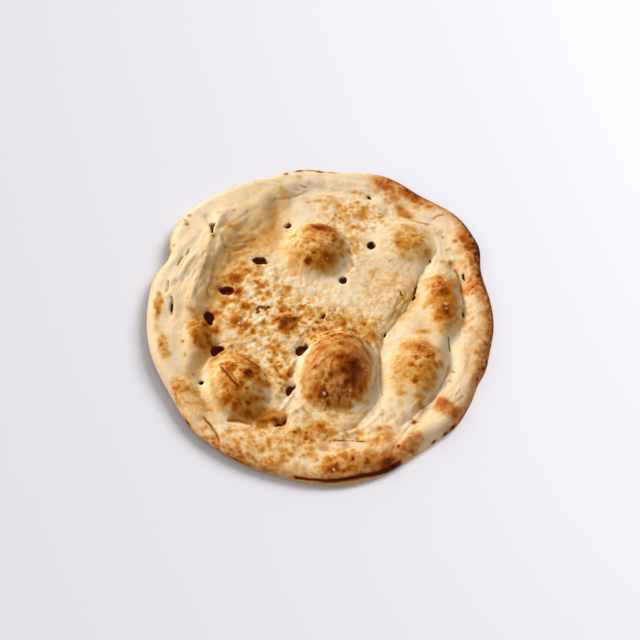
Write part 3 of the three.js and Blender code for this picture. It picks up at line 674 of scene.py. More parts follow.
# Soft spots: x, y, two radii, turn if any, how far they are baked.
SPOTS = [
    # docked floor
    (-46, 30, 2.2, 1.8, 0.68), (-38, 33, 2, 1.4, 0.6), (-52.5, 23.5, 4, 3, 30, 0.84),
    (-39, 21, 3, 1.4, -25, 0.6), (-36, 18, 3, 1.8, -25, 0.62), (-27, 18, 1.3, 2, 0.4),
    (-20, 16, 2, 2.4, 0.62), (-50.5, 13.5, 2.8, 2.8, 0.82), (-58, 6, 2, 1.6, 0.62),
    (-54, 7, 2.5, 1.6, 0.64), (-45, 3, 3.6, 2.6, 0.72), (-63, -2, 2.4, 2, 0.68), (-51, -7, 3.4, 4, 0.72),
    (-45, -11, 3, 2.6, 0.7), (-24, 6, 2, 1.6, 0.56), (-22, -9, 3, 4, 0.91), (-17, -6.5, 2.4, 0.8, 0.85),
    (-18, -4, 1.2, 0.7, -30, 0.79), (-12, 9, 2, 2.4, 0.38), (-11, 3, 1.6, 1.4, 0.6),
    (-40, -15, 2.4, 2.2, 0.6), (-52, -21, 4, 1.6, 10, 0.4), (-62, -15, 2.4, 2.4, 0.74),
    (-42, -20, 4, 1.6, 10, 0.36), (-31, 10, 2, 1.6, 0.36), (-5, -2, 1.8, 2, 0.54),
    (-33, -13, 1.6, 1.4, 0.52),
    # left rim and its inner slope
    (-77, -3, 3, 1.8, -30, 0.5), (-57, 60, 3, 1.6, -20, 0.42), (-57, 59, 1, 1, 0.6),
    (-57, 52, 1.6, 1.6, 0.36), (-64, 69, 1.8, 1.6, 0.34), (-55, 72, 0.8, 0.8, 0.5),
    (-47, 72, 0.8, 0.8, 0.5), (-67, 51, 0.8, 0.9, 0.7), (-59, 45, 0.8, 0.8, 0.6),
    (-71, 28, 1.4, 1.4, 0.42), (-24, 90, 2.4, 2, 0.36), (-8, 85, 0.9, 0.9, 0.5),
    (-14, 103, 1.6, 1.2, 0.34), (-91, 45, 0.9, 1, 0.55), (-83, 68, 0.9, 0.9, 0.6),
    (-84, 61, 1.2, 1.2, 0.6), (-97, 5, 1.6, 3, 0.4), (-97, -8, 1.4, 3, 3, 0.36),
    (-97, -16, 1.6, 3, 3, 0.32), (-89, -34, 2, 2.4, 0.42),
    # floor at the back
    (6, 89, 3, 1.6, 0.4), (-1, 86, 4.5, 1.4, 0.42), (12, 82, 2, 1.6, 0.52), (16, 78, 2.4, 1.8, 0.42),
    (24, 84, 1.4, 1.3, 0.6), (32, 76, 1.4, 1.2, 0.5), (25, 73, 3, 1.4, 0.4), (21, 64, 1.3, 1.2, 0.6),
    (27, 62, 2.4, 1.2, 20, 0.42), (38, 72, 2.8, 0.9, 10, 0.55), (12, 76, 1.6, 1.2, 0.38),
    (18, 68, 2, 1.4, 0.36), (25, 77, 2, 1.4, 0.4), (20, 80, 1.8, 1.2, 0.38), (20, 54, 4, 2, 0.4),
    (22, 46, 3, 2.4, 0.42),
    # back bubble
    (-8, 32.5, 2.7, 2.3, 0.9), (-2, 30, 4, 2.4, -10, 0.6), (5, 35, 5, 4.4, 0.62), (5, 35, 2.2, 2, 0.78),
    (0, 58.2, 5, 4, -10, 0.9), (3, 58, 4, 2, -30, 0.66), (8, 52, 1.2, 1.4, 0.82), (8, 47, 1.2, 1.2, 0.85),
    (13, 48, 1.2, 1.2, 0.6), (-14, 38, 2.4, 3, 20, 0.42), (-18, 33, 3, 2.6, 0.4), (-16, 27, 2.4, 2, 0.34),
    (-8, 57, 3, 2, 20, 0.56), (5, 61, 3.4, 2, -10, 0.7), (14, 42, 2.4, 2.4, 0.42),
    (-5, 50, 4, 1.4, 50, 0.45), (-10, 46, 3.5, 1.2, 60, 0.42), (-1, 44, 3, 1.2, 60, 0.48),
    (-8, 55, 3, 1.2, 40, 0.45),
    # front left bubble
    (-41, -49, 3.2, 3.4, 0.95), (-44, -42, 2.6, 1.4, -10, 0.65), (-46, -34, 2, 1.2, 0.7),
    (-50, -37, 1.8, 1.2, 0.6), (-52, -65, 4, 2.6, 10, 0.72), (-44, -72, 3, 1.6, 0.62),
    (-30, -52, 2.6, 2.4, 0.58), (-36, -55, 2, 1.6, 0.5), (-48, -58, 3, 1.6, -20, 0.6),
    (-39, -64, 4, 2.6, 0.56), (-46, -64, 3, 3, 0.5), (-55, -54, 2, 1.6, 0.5), (-31, -26, 2.4, 1.6, 0.5),
    (-27, -31, 1.6, 1.6, 0.4), (-22, -28, 1.6, 1.2, 0.4), (-20, -42, 1.6, 1.4, 0.42),
    (-33, -62, 1, 1, 0.6),
    # between the bubbles, at the hole
    (-32, -71, 7, 3.4, 5, 0.5), (-36, -73, 4, 2.2, 0.6), (-26, -74, 4, 2, 0.72), (-33, -78, 4, 1.6, 0.6),
    # middle bubble
    (11, -41, 3.6, 2.6, 0.8), (19, -45, 4.6, 5, 0.86), (14, -49, 4.4, 3, 0.84), (19, -53, 2.4, 3.6, 0.84),
    (6, -52, 2.3, 2.3, 0.78), (13, -58, 1.8, 1.4, 0.74), (12, -31, 2.4, 1.6, 0.78),
    (9, -27, 1, 1.1, 0.76), (1, -34, 3.6, 2.4, 0.64), (-3, -46, 1.1, 1.6, 0.78),
    (-1, -56, 1.8, 1.4, 0.64), (23, -57, 1.4, 3, 0.72), (19, -60, 2, 1.8, 0.68), (-6, -61, 3, 1.6, 0.6),
    (2, -62, 3, 1.5, 0.88), (25, -53, 2.4, 3.4, 0.66), (6, -58, 1.4, 1.2, 0.62),
    (15, -32, 2.4, 3.4, 0.58), (20, -35, 2, 3.4, 0.58), (18, -50, 5.4, 5.4, 0.56),
    (12, -62, 3, 1.5, 0.56), (9, -66, 3, 1, 0.56), (15, -66, 2.4, 1.1, 0.56), (-3, -66, 2.2, 1.2, 0.5),
    # behind it
    (31, -18, 3.2, 3.2, 0.62), (27, -23, 2.2, 2.4, 0.5), (21, -16, 1.4, 1.1, 0.5), (18, -14, 1.3, 1, 0.6),
    (14, -12, 1.3, 1, 0.56), (21, -12, 1.4, 1, 0.5), (29, -12, 1.5, 1.3, 0.42), (14, -6, 4.5, 1.4, 0.44),
    (26, -7, 2.6, 1.8, 0.4), (20, -10, 2, 1.2, 0.4), (23, -16, 3, 2.2, 0.44), (27, -32, 3, 1.4, -40, 0.5),
    (4, -14, 2, 2, 0.38),
    # in front of it
    (8, -72, 2.4, 1.3, 0.5), (16, -70, 2.6, 1.4, 0.46), (20, -78, 2, 1.2, 0.36), (-2, -76, 7, 0.9, 0.4),
    (0, -79, 2.4, 2, 0.72), (2, -82, 3, 1.6, 0.6), (-5, -93, 2, 2.4, 0.5), (-10, -83, 3, 2, 0.42),
    (6, -83, 2.2, 2.4, 0.52),
    # ridge bubble
    (54, -28, 4, 3, 0.5), (60, -33, 4, 3, 0.56), (64, -36, 3, 3.4, 0.6), (49, -45, 4.5, 7, 0.38),
    (54, -53, 1.8, 2, 0.86), (59, -47, 3.6, 2.4, 0.5), (68, -32, 2, 2, 0.46), (70, -41, 1.8, 2.4, 0.5),
    (61, -16, 4.4, 2, 0.52), (56, -62, 3, 1.6, 0.5), (57, -67, 1.8, 2.6, 0.52), (46, -60, 3.2, 1.8, 0.46),
    (35, -71, 1.4, 1, 0.4), (62, -54, 3.5, 2, 0.44), (43, -39, 0.9, 1, 0.44), (62, -44, 3, 2.4, 0.56),
    (58, -51, 2.4, 3, 0.54), (65, -49, 2, 3, 0.52), (60, -57, 3, 1.8, 0.5), (37, -79, 1.6, 1.2, 0.48),
    (33, -80, 2, 1.8, 0.54), (31, -89, 2.4, 2.8, 0.54), (37, -86, 1.8, 2.4, 0.5),
    # right bubble
    (74.8, 9.5, 4.6, 3.4, 35, 0.82), (75, -4, 3, 5, 0.82), (67, 4, 3, 1.8, 0.52), (63, 2, 1.6, 2, 0.44),
    (80, 18, 2, 6, 0.48), (80, 5, 2, 1.6, 0.5), (70, -7, 1, 1.4, 0.6), (75, -12, 1.2, 1.2, 0.46),
    (68, 11, 1, 1.2, 0.42), (72, -16, 1.4, 1.4, 0.44),
    # back right swelling
    (52, 64, 1.2, 1, 0.46), (56, 62, 2.6, 1.8, 0.42), (58, 55, 1.2, 1.2, 0.62), (60, 48, 1.4, 2, 0.6),
    (66, 43, 1.6, 1.8, 0.5), (60, 43, 1.2, 1.2, 0.42), (55, 48, 2.2, 1.2, 0.5), (43, 36, 1.4, 1.1, 0.4),
    (32, 29, 2, 1.6, 0.38), (47, 27, 2, 1.6, 0.38), (41, 19, 3.5, 1.4, 0.34),
    # back right rim
    (39, 99, 4, 3.6, -30, 0.62), (44, 96, 3, 3, 0.66), (48, 88, 3.4, 5, 20, 0.46),
    (56, 91, 5, 2.4, -30, 0.64), (61, 86, 3.6, 3, 0.72), (65, 82, 2, 1.4, -20, 0.64),
    (70, 79, 2.2, 1.2, -20, 0.6), (51, 80, 2.4, 2, -30, 0.56), (55, 73, 4.5, 2, -20, 0.6),
    (53, 76, 1.8, 3, 20, 0.52), (37, 93, 2, 1.4, 0.4), (22, 93, 2, 1.2, 0.44), (26, 92, 1.2, 1, 0.44),
    # right rim
    (90, 53, 2.4, 3.4, 20, 0.72), (93, 46, 2.2, 3.6, 15, 0.74), (85, 52, 1.2, 1.2, 0.62),
    (80, 46, 1, 1, 0.46), (76, 37, 1.8, 1.8, 0.44), (81, 36, 1.8, 1.6, 0.56),
    (75, 59, 2.4, 1.6, 30, 0.42), (77, 56, 1.2, 1, 0.5), (92, 17, 4, 2, 20, 0.5), (97, 8, 2, 2.4, 0.48),
    (98, -4, 1.6, 2.4, 0.46), (91, -7, 1, 0.9, 0.42), (94, -20, 1, 2, 20, 0.42),
    (91, -32, 1.1, 1.3, 0.56), (92, -40, 0.9, 0.9, 0.42), (69.5, -65.5, 3.2, 3.6, 30, 0.64),
    (75, -72.5, 2.8, 3.2, 20, 0.62), (78, -70, 1.8, 1.8, 0.56), (77, -43, 0.9, 0.9, 0.66),
    (75, -50, 0.8, 0.8, 0.55), (51, -90, 2.4, 3, -20, 0.42), (53, -76, 1.2, 1.2, 0.97),
    (43, -93, 1, 1, 0.97),
    # front edge
    (36.5, -102, 4.4, 2.6, 25, 0.82), (35, -99, 4, 3.2, 20, 0.54), (7, -106, 3.4, 2.2, 0.82),
    (17, -103, 6, 2, 0.46), (26, -102, 4, 2, 10, 0.5), (-43, -101, 6, 1.2, -20, 0.46),
    (-4, -98, 3, 1.6, 0.4), (44, -94, 3, 2, 0.5),
    # front left rim
    (-80, -58, 1.8, 1.6, 0.46), (-77, -57, 2, 2, 0.46), (-79, -52, 1.8, 1.4, 0.4),
    (-69, -65, 3, 2.4, 0.4), (-63, -69, 2.4, 1.2, 0.5), (-64, -80, 1.4, 1.4, 0.52),
    (-51, -83, 1.8, 1.4, 0.46), (-46, -94, 2, 1.3, 0.52), (-42, -81, 3, 1.6, 0.42),
    (-24, -103, 2.6, 1.8, 0.52), (-21, -101, 1.6, 1.4, 0.56), (-19, -95, 2, 1.2, 0.48),
    (-18, -88, 2.4, 1.2, 20, 0.5), (-27, -99, 1.6, 1, 0.48), (-14, -85, 2.4, 1.4, 0.4),
    (-72, -23, 1.8, 1.6, 0.6), (-73, -27, 1.1, 1.4, 0.74), (-69, -28, 1.8, 2, 0.6),
    (-81, -25, 0.8, 0.8, 0.75), (-79, -34, 1, 1.4, 0.5), (-76, -20, 2, 2, 0.46), (-67, -20, 2, 3, 0.5),
    (-74, -46, 0.9, 0.9, 0.46),
]

# Areas whose browning is more reddish: x, y, two radii, turn if any, how much.
RUDDY = [
    (-1, -40, 8, 16, 0.7), (9, -44, 19, 25, -26, 0.55), (70, 16, 6, 8, 0.8), (55, -30, 9, 6, 0.8),
    (0, 52, 12, 14, 0.4), (-36, 19, 5, 4, -25, 0.6), (-45, -12, 6, 4, 0.5), (-5, -84, 10, 4, 0.5),
]

# Oily blisters that glint, with a painted highlight in their colour: x, y, radius, height.
GLINTS = [
    (4.2, 34.2, 0.6, 0.4), (24.4, -43.6, 0.6, 0.4), (26.2, -45, 0.55, 0.4), (17, -58.8, 0.8, 0.5),
    (2.2, -61.5, 0.9, 0.5), (1.6, -64.6, 0.5, 0.3), (75, 0.3, 0.75, 0.5), (75.4, -2.6, 0.65, 0.4),
    (-40, -78, 0.6, 0.4), (-37, -78, 0.6, 0.4), (-33, -80, 0.6, 0.4), (-29, -77, 0.6, 0.4),
    (-48.6, -9.4, 0.8, 0.5), (-46.4, -12.4, 0.6, 0.4), (7.2, -106.8, 0.8, 0.5),
]

# Pale flour left in the folds: x, y, two radii, turn if any, how much.
FLOURED = [
    (-86, 34, 14, 34, 8, 0.08), (-68, 72, 18, 16, 0.08), (41, 77, 7, 3, -35, 0.3), (76, 58, 3, 2.2, 0.25),
    (-48, 86, 4, 2, 0.25), (-84, -36, 3, 6, 0.25), (86, -22, 4, 8, 0.25), (11, -91.5, 11, 2.2, 0.22),
]


def soft_dots(x, y, cell, seed, fill):
    """Dots of uneven size, 1 in the middle and fading outward."""
    return 1 - np.sqrt(1 - blister_noise(x, y, cell, seed, fill))


def freckles(x, y):
    """Soft dots of two sizes, some of them faint: 1 in the middle of the strongest ones."""
    near_x, near_y = wavered(x, y, *FRECKLE_WAVER)
    large = soft_dots(near_x, near_y, 5.6, seed=51, fill=0.74)
    small = soft_dots(near_x, near_y, 2.9, seed=54, fill=0.7)
    large = large * (0.95 + 0.7 * gradient_noise(x, y, 8, seed=57))
    small = small * (0.7 + 0.8 * gradient_noise(x, y, 5, seed=58))
    return smooth_rise(1.05 * np.maximum(large, small))


def squiggles(x, y):
    """Thin winding lines, 1 along their middle."""
    return np.clip(1 - np.abs(layered_noise(x, y, 4.6, seed=66, layers=2)) / 0.3, 0, 1)


def left_rim_painted_shade(angle, radius):
    """Painted shade on the left rim, added to its toast: darkest at the foot of its inner slope, which
    faces away from the light, and paler towards its crest.
    """
    start, width, _ = rim_at(angle)
    share = (radius - start) / width
    foot = 0.21 * np.exp(-((share - 0.1) / 0.5) ** 2)
    return sector(angle, *LEFT_RIM_SHADE) * (foot + 0.1 * np.exp(-((share - 0.6) / 1.1) ** 2))


def unrolled(x, y, radius, inset):
    """Points moved outward as the edge drops, so that noise is not stretched down the side."""
    reach = 1 + EDGE_TOP_ROUND * (1 - quarter_round(inset, EDGE_TOP_ROUND)) / np.maximum(radius, 1)
    return x * reach, y * reach


def raised_to(baked_and_shaded, level, cover):
    """Browning brought up to a level where a cover is 1."""
    return baked_and_shaded + np.maximum(level - baked_and_shaded, 0) * cover


def toasted(x, y, angle, inset):
    """How far the even toast of areas and of the edge bakes each point, 0 to 1."""
    raw = np.ones(np.shape(x))
    for *oval, level, softness in TOASTED:
        raw = raw * (1 - level * patch(x, y, oval, softness))
    for middle, spread, depth, width, level in EDGE_TOASTED:
        across = np.exp(-((inset - depth) / width) ** 2)
        raw = raw * (1 - level * hump(angle, middle, spread) * across)
    return 1 - raw


def with_spots(baked_and_shaded, x, y):
    """Browning with the soft spots, each a crisp core in a soft halo."""
    x, y = wavered(x, y, *SPOT_WAVER)
    for *oval, level in SPOTS:
        share = np.minimum(oval_share(x, y, *oval), 9)
        cover = SPOT_CORE * np.exp(-0.9 * share ** 3) + SPOT_HALO * np.exp(-(share / HALO_REACH) ** 2)
        baked_and_shaded = raised_to(baked_and_shaded, level, cover)
    return baked_and_shaded


def with_burns(baked_and_shaded, x, y, angle, inset):
    """Browning with the burnt lines, the scorched marks on the edge and the front edge's lip and burn."""
    x, y = wavered(x, y, *LINE_WAVER)
    for half_width, level, path in BURNT_LINES:
        baked_and_shaded = raised_to(baked_and_shaded, level, band(x, y, half_width, 1, path))
    for middle, spread, depth, half_width, level in EDGE_SCORCHED:
        cover = hump(angle, middle, spread) * np.exp(-((inset - depth) / half_width) ** 4)
        baked_and_shaded = raised_to(baked_and_shaded, level, cover)
    lip = sector(angle, *LEDGE_SECTOR) * smooth_rise((LEDGE_WIDTH + 0.2 - inset) / 0.4)
    baked_and_shaded = baked_and_shaded + (LIP_BAKED - baked_and_shaded) * lip
    turn = (angle + 180) % 360 - 180
    angles, *columns = zip(*FRONT_BURN)
    depth, half_width, level = (np.interp(turn, angles, column) for column in columns)
    return raised_to(baked_and_shaded, level, np.exp(-((inset - depth) / half_width) ** 4))


def browning_and_shade(x, y, angle, radius, inset):
    """How far each point of the top is toasted, from 0 (pale dough) to 1 (charred), with some painted
    shade worked in: on the left rim, in the wrinkles around the middle bubble and on two of the toasted
    areas.
    """
    flat_x, flat_y = unrolled(x, y, radius, inset)
    near_x, near_y = wavered(*wavered(x, y, *PATCH_WAVER), *PATCH_FRAY)
    patchy = np.where(inset < PATCHY_EDGE_WIDTH, EDGE_PATCHINESS, PATCHINESS)
    baked_and_shaded = toasted(near_x, near_y, angle, inset)
    baked_and_shaded = baked_and_shaded * (1 + patchy * layered_noise(flat_x, flat_y, 3.4, seed=52))

    freckled = FRECKLE_STRENGTH * patches(near_x, near_y, FRECKLED)
    baked_and_shaded = baked_and_shaded + BARE_BAKED + freckled * (freckles(flat_x, flat_y) - FRECKLE_GAP)
    baked_and_shaded = baked_and_shaded + patches(near_x, near_y, MARBLED) * squiggles(x, y)
    rings, show = ring_wrinkles(x, y)
    # darker in the valleys of the wrinkles around the middle bubble: toast there and painted shade
    baked_and_shaded = baked_and_shaded + 0.5 * show * np.clip(-rings - 0.05, 0, 0.8)
    baked_and_shaded = baked_and_shaded + 0.1 * (0.5 * patches(x, y, BLISTERED) - blisters_at(x, y))
    # painted shade on the left rim, and slow uneven toast
    baked_and_shaded = baked_and_shaded + left_rim_painted_shade(angle, radius) + 0.04 * layered_noise(x, y, 9, seed=53)

    baked_and_shaded = with_spots(baked_and_shaded, x, y)
    baked_and_shaded = baked_and_shaded * (1 + 0.12 * layered_noise(flat_x, flat_y, 2.4, seed=59, layers=2))
    return np.clip(with_burns(baked_and_shaded, x, y, angle, inset), 0, 1)


# ---- other looks ----

def crease_toast_and_shade_cover(x, y):
    """How dark the sharp folds are painted, 0 to 1: toast in the folds and painted shade in them."""
    cover = np.zeros(np.shape(x))
    near_x, near_y = wavered(x, y, *CREASE_WAVER)
    for half_width, _, _, dark, path in CREASES:
        cover = np.maximum(cover, band(near_x, near_y, CREASE_DARK_SHARE * half_width, dark, path))
    return np.minimum(1, cover * np.clip(0.8 + 0.8 * gradient_noise(x, y, 6, seed=73), 0.15, 1))


def edge_tone_and_shade(angle, inset, baked_and_shaded):
    """How far the outer edge at the left and back, the side the light comes from, gets a duller, pinker
    colour where it is not browned: painted shade that tones down the light on the edge, with a pinkish
    tone of its own.
    """
    pale = 0.85 * sector(angle, *EDGE_SHADE_SECTOR) * smooth_rise((3.4 - inset) / 2.8)
    return pale * smooth_rise((0.6 - baked_and_shaded) / 0.25)


def ruddiness(x, y, angle, inset):
    """How reddish the crust's colour is: along the right rim, along the whole edge and in the reddish
    areas.
    """
    ruddy = sector(angle, *RUDDY_EDGE) * smooth_rise((26 - inset) / 16)
    ruddy = np.maximum(ruddy, 0.6 * smooth_rise((9 - inset) / 6))
    return np.maximum(ruddy, patches(x, y, RUDDY))


def raise_glints(x, y, top):
    """The top with its oily blisters, and how far each point is glossy and painted with a glint's
    highlight.
    """
    gloss_and_painted_glint = np.zeros(np.shape(x))
    for centre_x, centre_y, size, height in GLINTS:
        cover = np.clip(1 - (np.hypot(x - centre_x, y - centre_y) / size) ** 2, 0, 1)
        top = top + height * cover
        gloss_and_painted_glint = np.maximum(gloss_and_painted_glint, smooth_rise(cover * 2))
    return top, gloss_and_painted_glint


# ---- the two sides of the bread ----

def make_top(x, y):
    """Height and looks of the top at points that are given in millimetres."""
    angle, radius, inset = to_polar(x, y)
    top = open_top(x, y, angle, radius, inset) + fine_relief(x, y, inset)
    crease_toast_and_shade = crease_toast_and_shade_cover(x, y)
    baked_and_shaded = np.maximum(browning_and_shade(x, y, angle, radius, inset), FOLD_BAKED * crease_toast_and_shade)

    inset = np.maximum(0, inset - LEDGE_WIDTH * sector(angle, *LEDGE_SECTOR))
    top, gloss_and_painted_glint = raise_glints(x, y, top)
    top, pit, narrow_pit_crust_and_shade = sink_holes(x, y, top, HOLE_CRUST + lift_at(angle, inset))
    edge = EDGE_HEIGHT + lift_at(angle, 0)
    return {
        "height": edge + (top - edge) * quarter_round(inset, EDGE_TOP_ROUND),
        "baked_and_shaded": baked_and_shaded,
        "pit": pit,
        "flour": patches(x, y, FLOURED, 0.6),
        "ruddy": ruddiness(x, y, angle, inset),
        "gloss_and_painted_glint": gloss_and_painted_glint,
        "crease_toast_and_shade": crease_toast_and_shade,
        "narrow_pit_crust_and_shade": narrow_pit_crust_and_shade,
        "edge_tone_and_shade": edge_tone_and_shade(angle, inset, baked_and_shaded),
        "under": np.zeros(np.shape(x)),
    }


def make_underside(angle, radius):
    """Height and looks of the underside, whose fringe is toasted like the edge above it and darker still:
    partly its own toast and partly painted shade along the bottom of the edge.
    """
    x, y = from_polar(angle, radius)
    inset = outline_radius(angle) - radius
    edge = EDGE_HEIGHT + lift_at(angle, 0)
    dimple = 0.5 * np.clip(layered_noise(x, y, 12, seed=61) + 0.1, 0, 1) * smooth_rise(inset / 12)
    around = (outline_radius(angle) + inset) / np.maximum(radius, 1)
    above = browning_and_shade(x * around, y * around, angle, radius * around, 0 * inset)
    # the fringe is darker than the edge above it: partly its own toast, partly painted shade along the
    # bottom of the edge
    baked_and_shaded = np.maximum(0.2 + 0.35 * above, 1.7 * above - 0.75) * smooth_rise((6 - inset) / 5)
    return {
        "height": edge + (lift_at(angle, inset) + dimple - edge) * quarter_round(inset, EDGE_UNDER_ROUND),
        "baked_and_shaded": baked_and_shaded,
        "edge_tone_and_shade": edge_tone_and_shade(angle, inset, baked_and_shaded),
        "under": smooth_rise(inset / 3),
    }


# ---- mesh ----

def disc_size(rings):
    """How many points a disc has: one in the middle and 6k on the k-th ring."""
    return 1 + 3 * rings * (rings + 1)


def disc_points(rings, inset):
    """Angles and radii of a disc that ends at a distance in from the outline."""
    angles, shares = [np.zeros(1)], [np.zeros(1)]
    for k in range(1, rings + 1):
        angles.append(360 * np.arange(6 * k) / (6 * k))
        shares.append(np.full(6 * k, k / rings))
    angle, share = np.concatenate(angles), np.concatenate(shares)
    return angle, (outline_radius(angle) - inset) * share


def disc_faces(rings):
    """Triangles of such a disc, facing up."""
    faces = [np.array([(0, 1 + i, 1 + (i + 1) % 6) for i in range(6)])]
    for k in range(1, rings):
        inner, outer = disc_size(k - 1), disc_size(k)
        place = np.arange(6 * (k + 1))
        corner, step = np.divmod(place, k + 1)
        inner_now = inner + (corner * k + step) % (6 * k)
        inner_next = inner + (corner * k + step + 1) % (6 * k)
        outer_now = outer + place
        outer_next = outer + (place + 1) % len(place)
        faces.append(np.stack([inner_now, outer_now, outer_next], 1))
        faces.append(np.stack([inner_now, outer_next, inner_next], 1)[step < k])
    return np.concatenate(faces)


def band_faces(first, second, count):
    """Triangles between two rings of the same count, which start at those two points."""
    now = np.arange(count)
    after = (now + 1) % count
    lower = np.stack([first + now, second + now, second + after], 1)
    upper = np.stack([first + now, second + after, first + after], 1)
    return np.concatenate([lower, upper])


def stitch_faces(first, first_count, second, second_count):
    """Triangles between two rings whose counts differ."""
    faces = []
    i = j = 0
    while i < first_count or j < second_count:
        now_i, now_j = first + i % first_count, second + j % second_count
        if (i + 1) * second_count < (j + 1) * first_count:
            i += 1
            faces.append((now_i, now_j, first + i % first_count))
        else:
            j += 1
            faces.append((now_i, now_j, second + j % second_count))
    return np.array(faces)


def bread_faces():
    """Triangles of the top's disc, the rings around the edge and the underside's disc."""
    count = 6 * TOP_RINGS
    under_count = 6 * UNDER_RINGS
    faces = [disc_faces(TOP_RINGS)]
    last = disc_size(TOP_RINGS) - count
    for _ in (*EDGE_INSETS, *UNDER_INSETS):
        faces.append(band_faces(last, last + count, count))
        last += count
    start = last + count
    faces.append(stitch_faces(last, count, start + disc_size(UNDER_RINGS) - under_count, under_count))
    faces.append((disc_faces(UNDER_RINGS) + start)[:, ::-1])
    return np.concatenate(faces)


def bread_points():
    """The bread's points in millimetres, from the top's middle around the edge to the underside, and
    the looks of each."""
    ring_angle = 360 * np.arange(6 * TOP_RINGS) / (6 * TOP_RINGS)
    ring_radius = outline_radius(ring_angle)
    top_disc = draw_to_holes(*from_polar(*disc_points(TOP_RINGS, TOP_DISC_INSET)))
    edge_rings = [from_polar(ring_angle, ring_radius - inset) for inset in EDGE_INSETS]
    under_rings = [(ring_angle, ring_radius - inset) for inset in UNDER_INSETS]
    top_x, top_y = np.hstack([top_disc, *edge_rings])
    under_angle, under_radius = np.hstack([*under_rings, disc_points(UNDER_RINGS, UNDER_DISC_INSET)])

    top, under = make_top(top_x, top_y), make_underside(under_angle, under_radius)
    blank = np.zeros(len(under_angle))
    looks = {name: np.concatenate([values, under.get(name, blank)]) for name, values in top.items()}
    x, y = np.hstack([(top_x, top_y), from_polar(under_angle, under_radius)])
    height = looks.pop("height")
    return np.stack([x, y, height], 1), looks


def add_object(name, data):
    """A new object in the scene."""
    thing = bpy.data.objects.new(name, data)
    bpy.context.scene.collection.objects.link(thing)
    return thing


def add_bread(material):
    """The bread's object, centred over the solid that it stands for, and where its middle was."""
    points, looks = bread_points()
    low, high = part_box(NODE)
    middle = (points.min(0) + points.max(0)) / 2
    points[:, :2] -= middle[:2]
    points *= MM
    points[:, :2] += [(low[0] + high[0]) / 2, (low[1] + high[1]) / 2]

    mesh = bpy.data.meshes.new("naan_crust")
    mesh.from_pydata(points.tolist(), [], bread_faces().tolist())
    for name, values in looks.items():
        mesh.attributes.new(name, "FLOAT", "POINT").data.foreach_set("value", values.astype(np.float32))
    mesh.shade_smooth()
    mesh.materials.append(material)
    return add_object("naan_crust", mesh), middle


# ---- materials ----

# The crust's colour as it bakes: how far, and the colour on screen from 0 to 255.
BAKING = [
    (0.0, (248, 228, 200)), (0.1, (243, 216, 176)), (0.22, (235, 197, 141)), (0.34, (223, 171, 102)),
    (0.46, (208, 144, 62)), (0.58, (192, 116, 31)), (0.7, (168, 85, 12)), (0.8, (139, 61, 4)),
    (0.9, (104, 39, 2)), (1.0, (60, 18, 1)),
]
RUDDY_BAKING = [
    (0.0, (246, 225, 194)), (0.1, (241, 212, 170)), (0.22, (232, 190, 137)), (0.34, (223, 164, 102)),
    (0.46, (207, 136, 70)), (0.58, (185, 105, 40)), (0.7, (155, 75, 20)), (0.8, (127, 53, 10)),
    (0.9, (92, 34, 5)), (1.0, (50, 15, 3)),
]

# What else colours the crust, each over the ones before it: the look, its colour on screen, its strength.
TINTS = [
    # the edge's tint, the folds' dark and the narrow holes' dark are partly painted shade; the glint
    # colour is a painted highlight
    ("edge_tone_and_shade", (226, 198, 166), 1), ("flour", (230, 220, 208), 1), ("crease_toast_and_shade", (72, 36, 12), 1),
    ("pit", (112, 46, 14), 1), ("narrow_pit_crust_and_shade", (78, 38, 14), 1), ("gloss_and_painted_glint", (250, 232, 196), 0.7),
]
FLOOR_COLOUR = (0.79, 0.79, 0.84, 1)    # the share of light that the floor gives back
LIGHT_LEVEL = 1.22                      # how much brighter the light makes a colour than it is
GRAIN = 0.1                             # how unevenly the crust is baked from grain to grain
RUDDY_GRAIN = 0.2                       # how much more unevenly where it is reddish
SPECKLE = 0.05                          # how unevenly it is baked in fine specks


def surface_colour(colour):
    """The colour of a surface that shows as this colour on screen, under this scene's light."""
    shares = [channel / 255 for channel in colour]
    light = [s / 12.92 if s <= 0.04045 else ((s + 0.055) / 1.055) ** 2.4 for s in shares]
    return (*[channel / LIGHT_LEVEL for channel in light], 1)


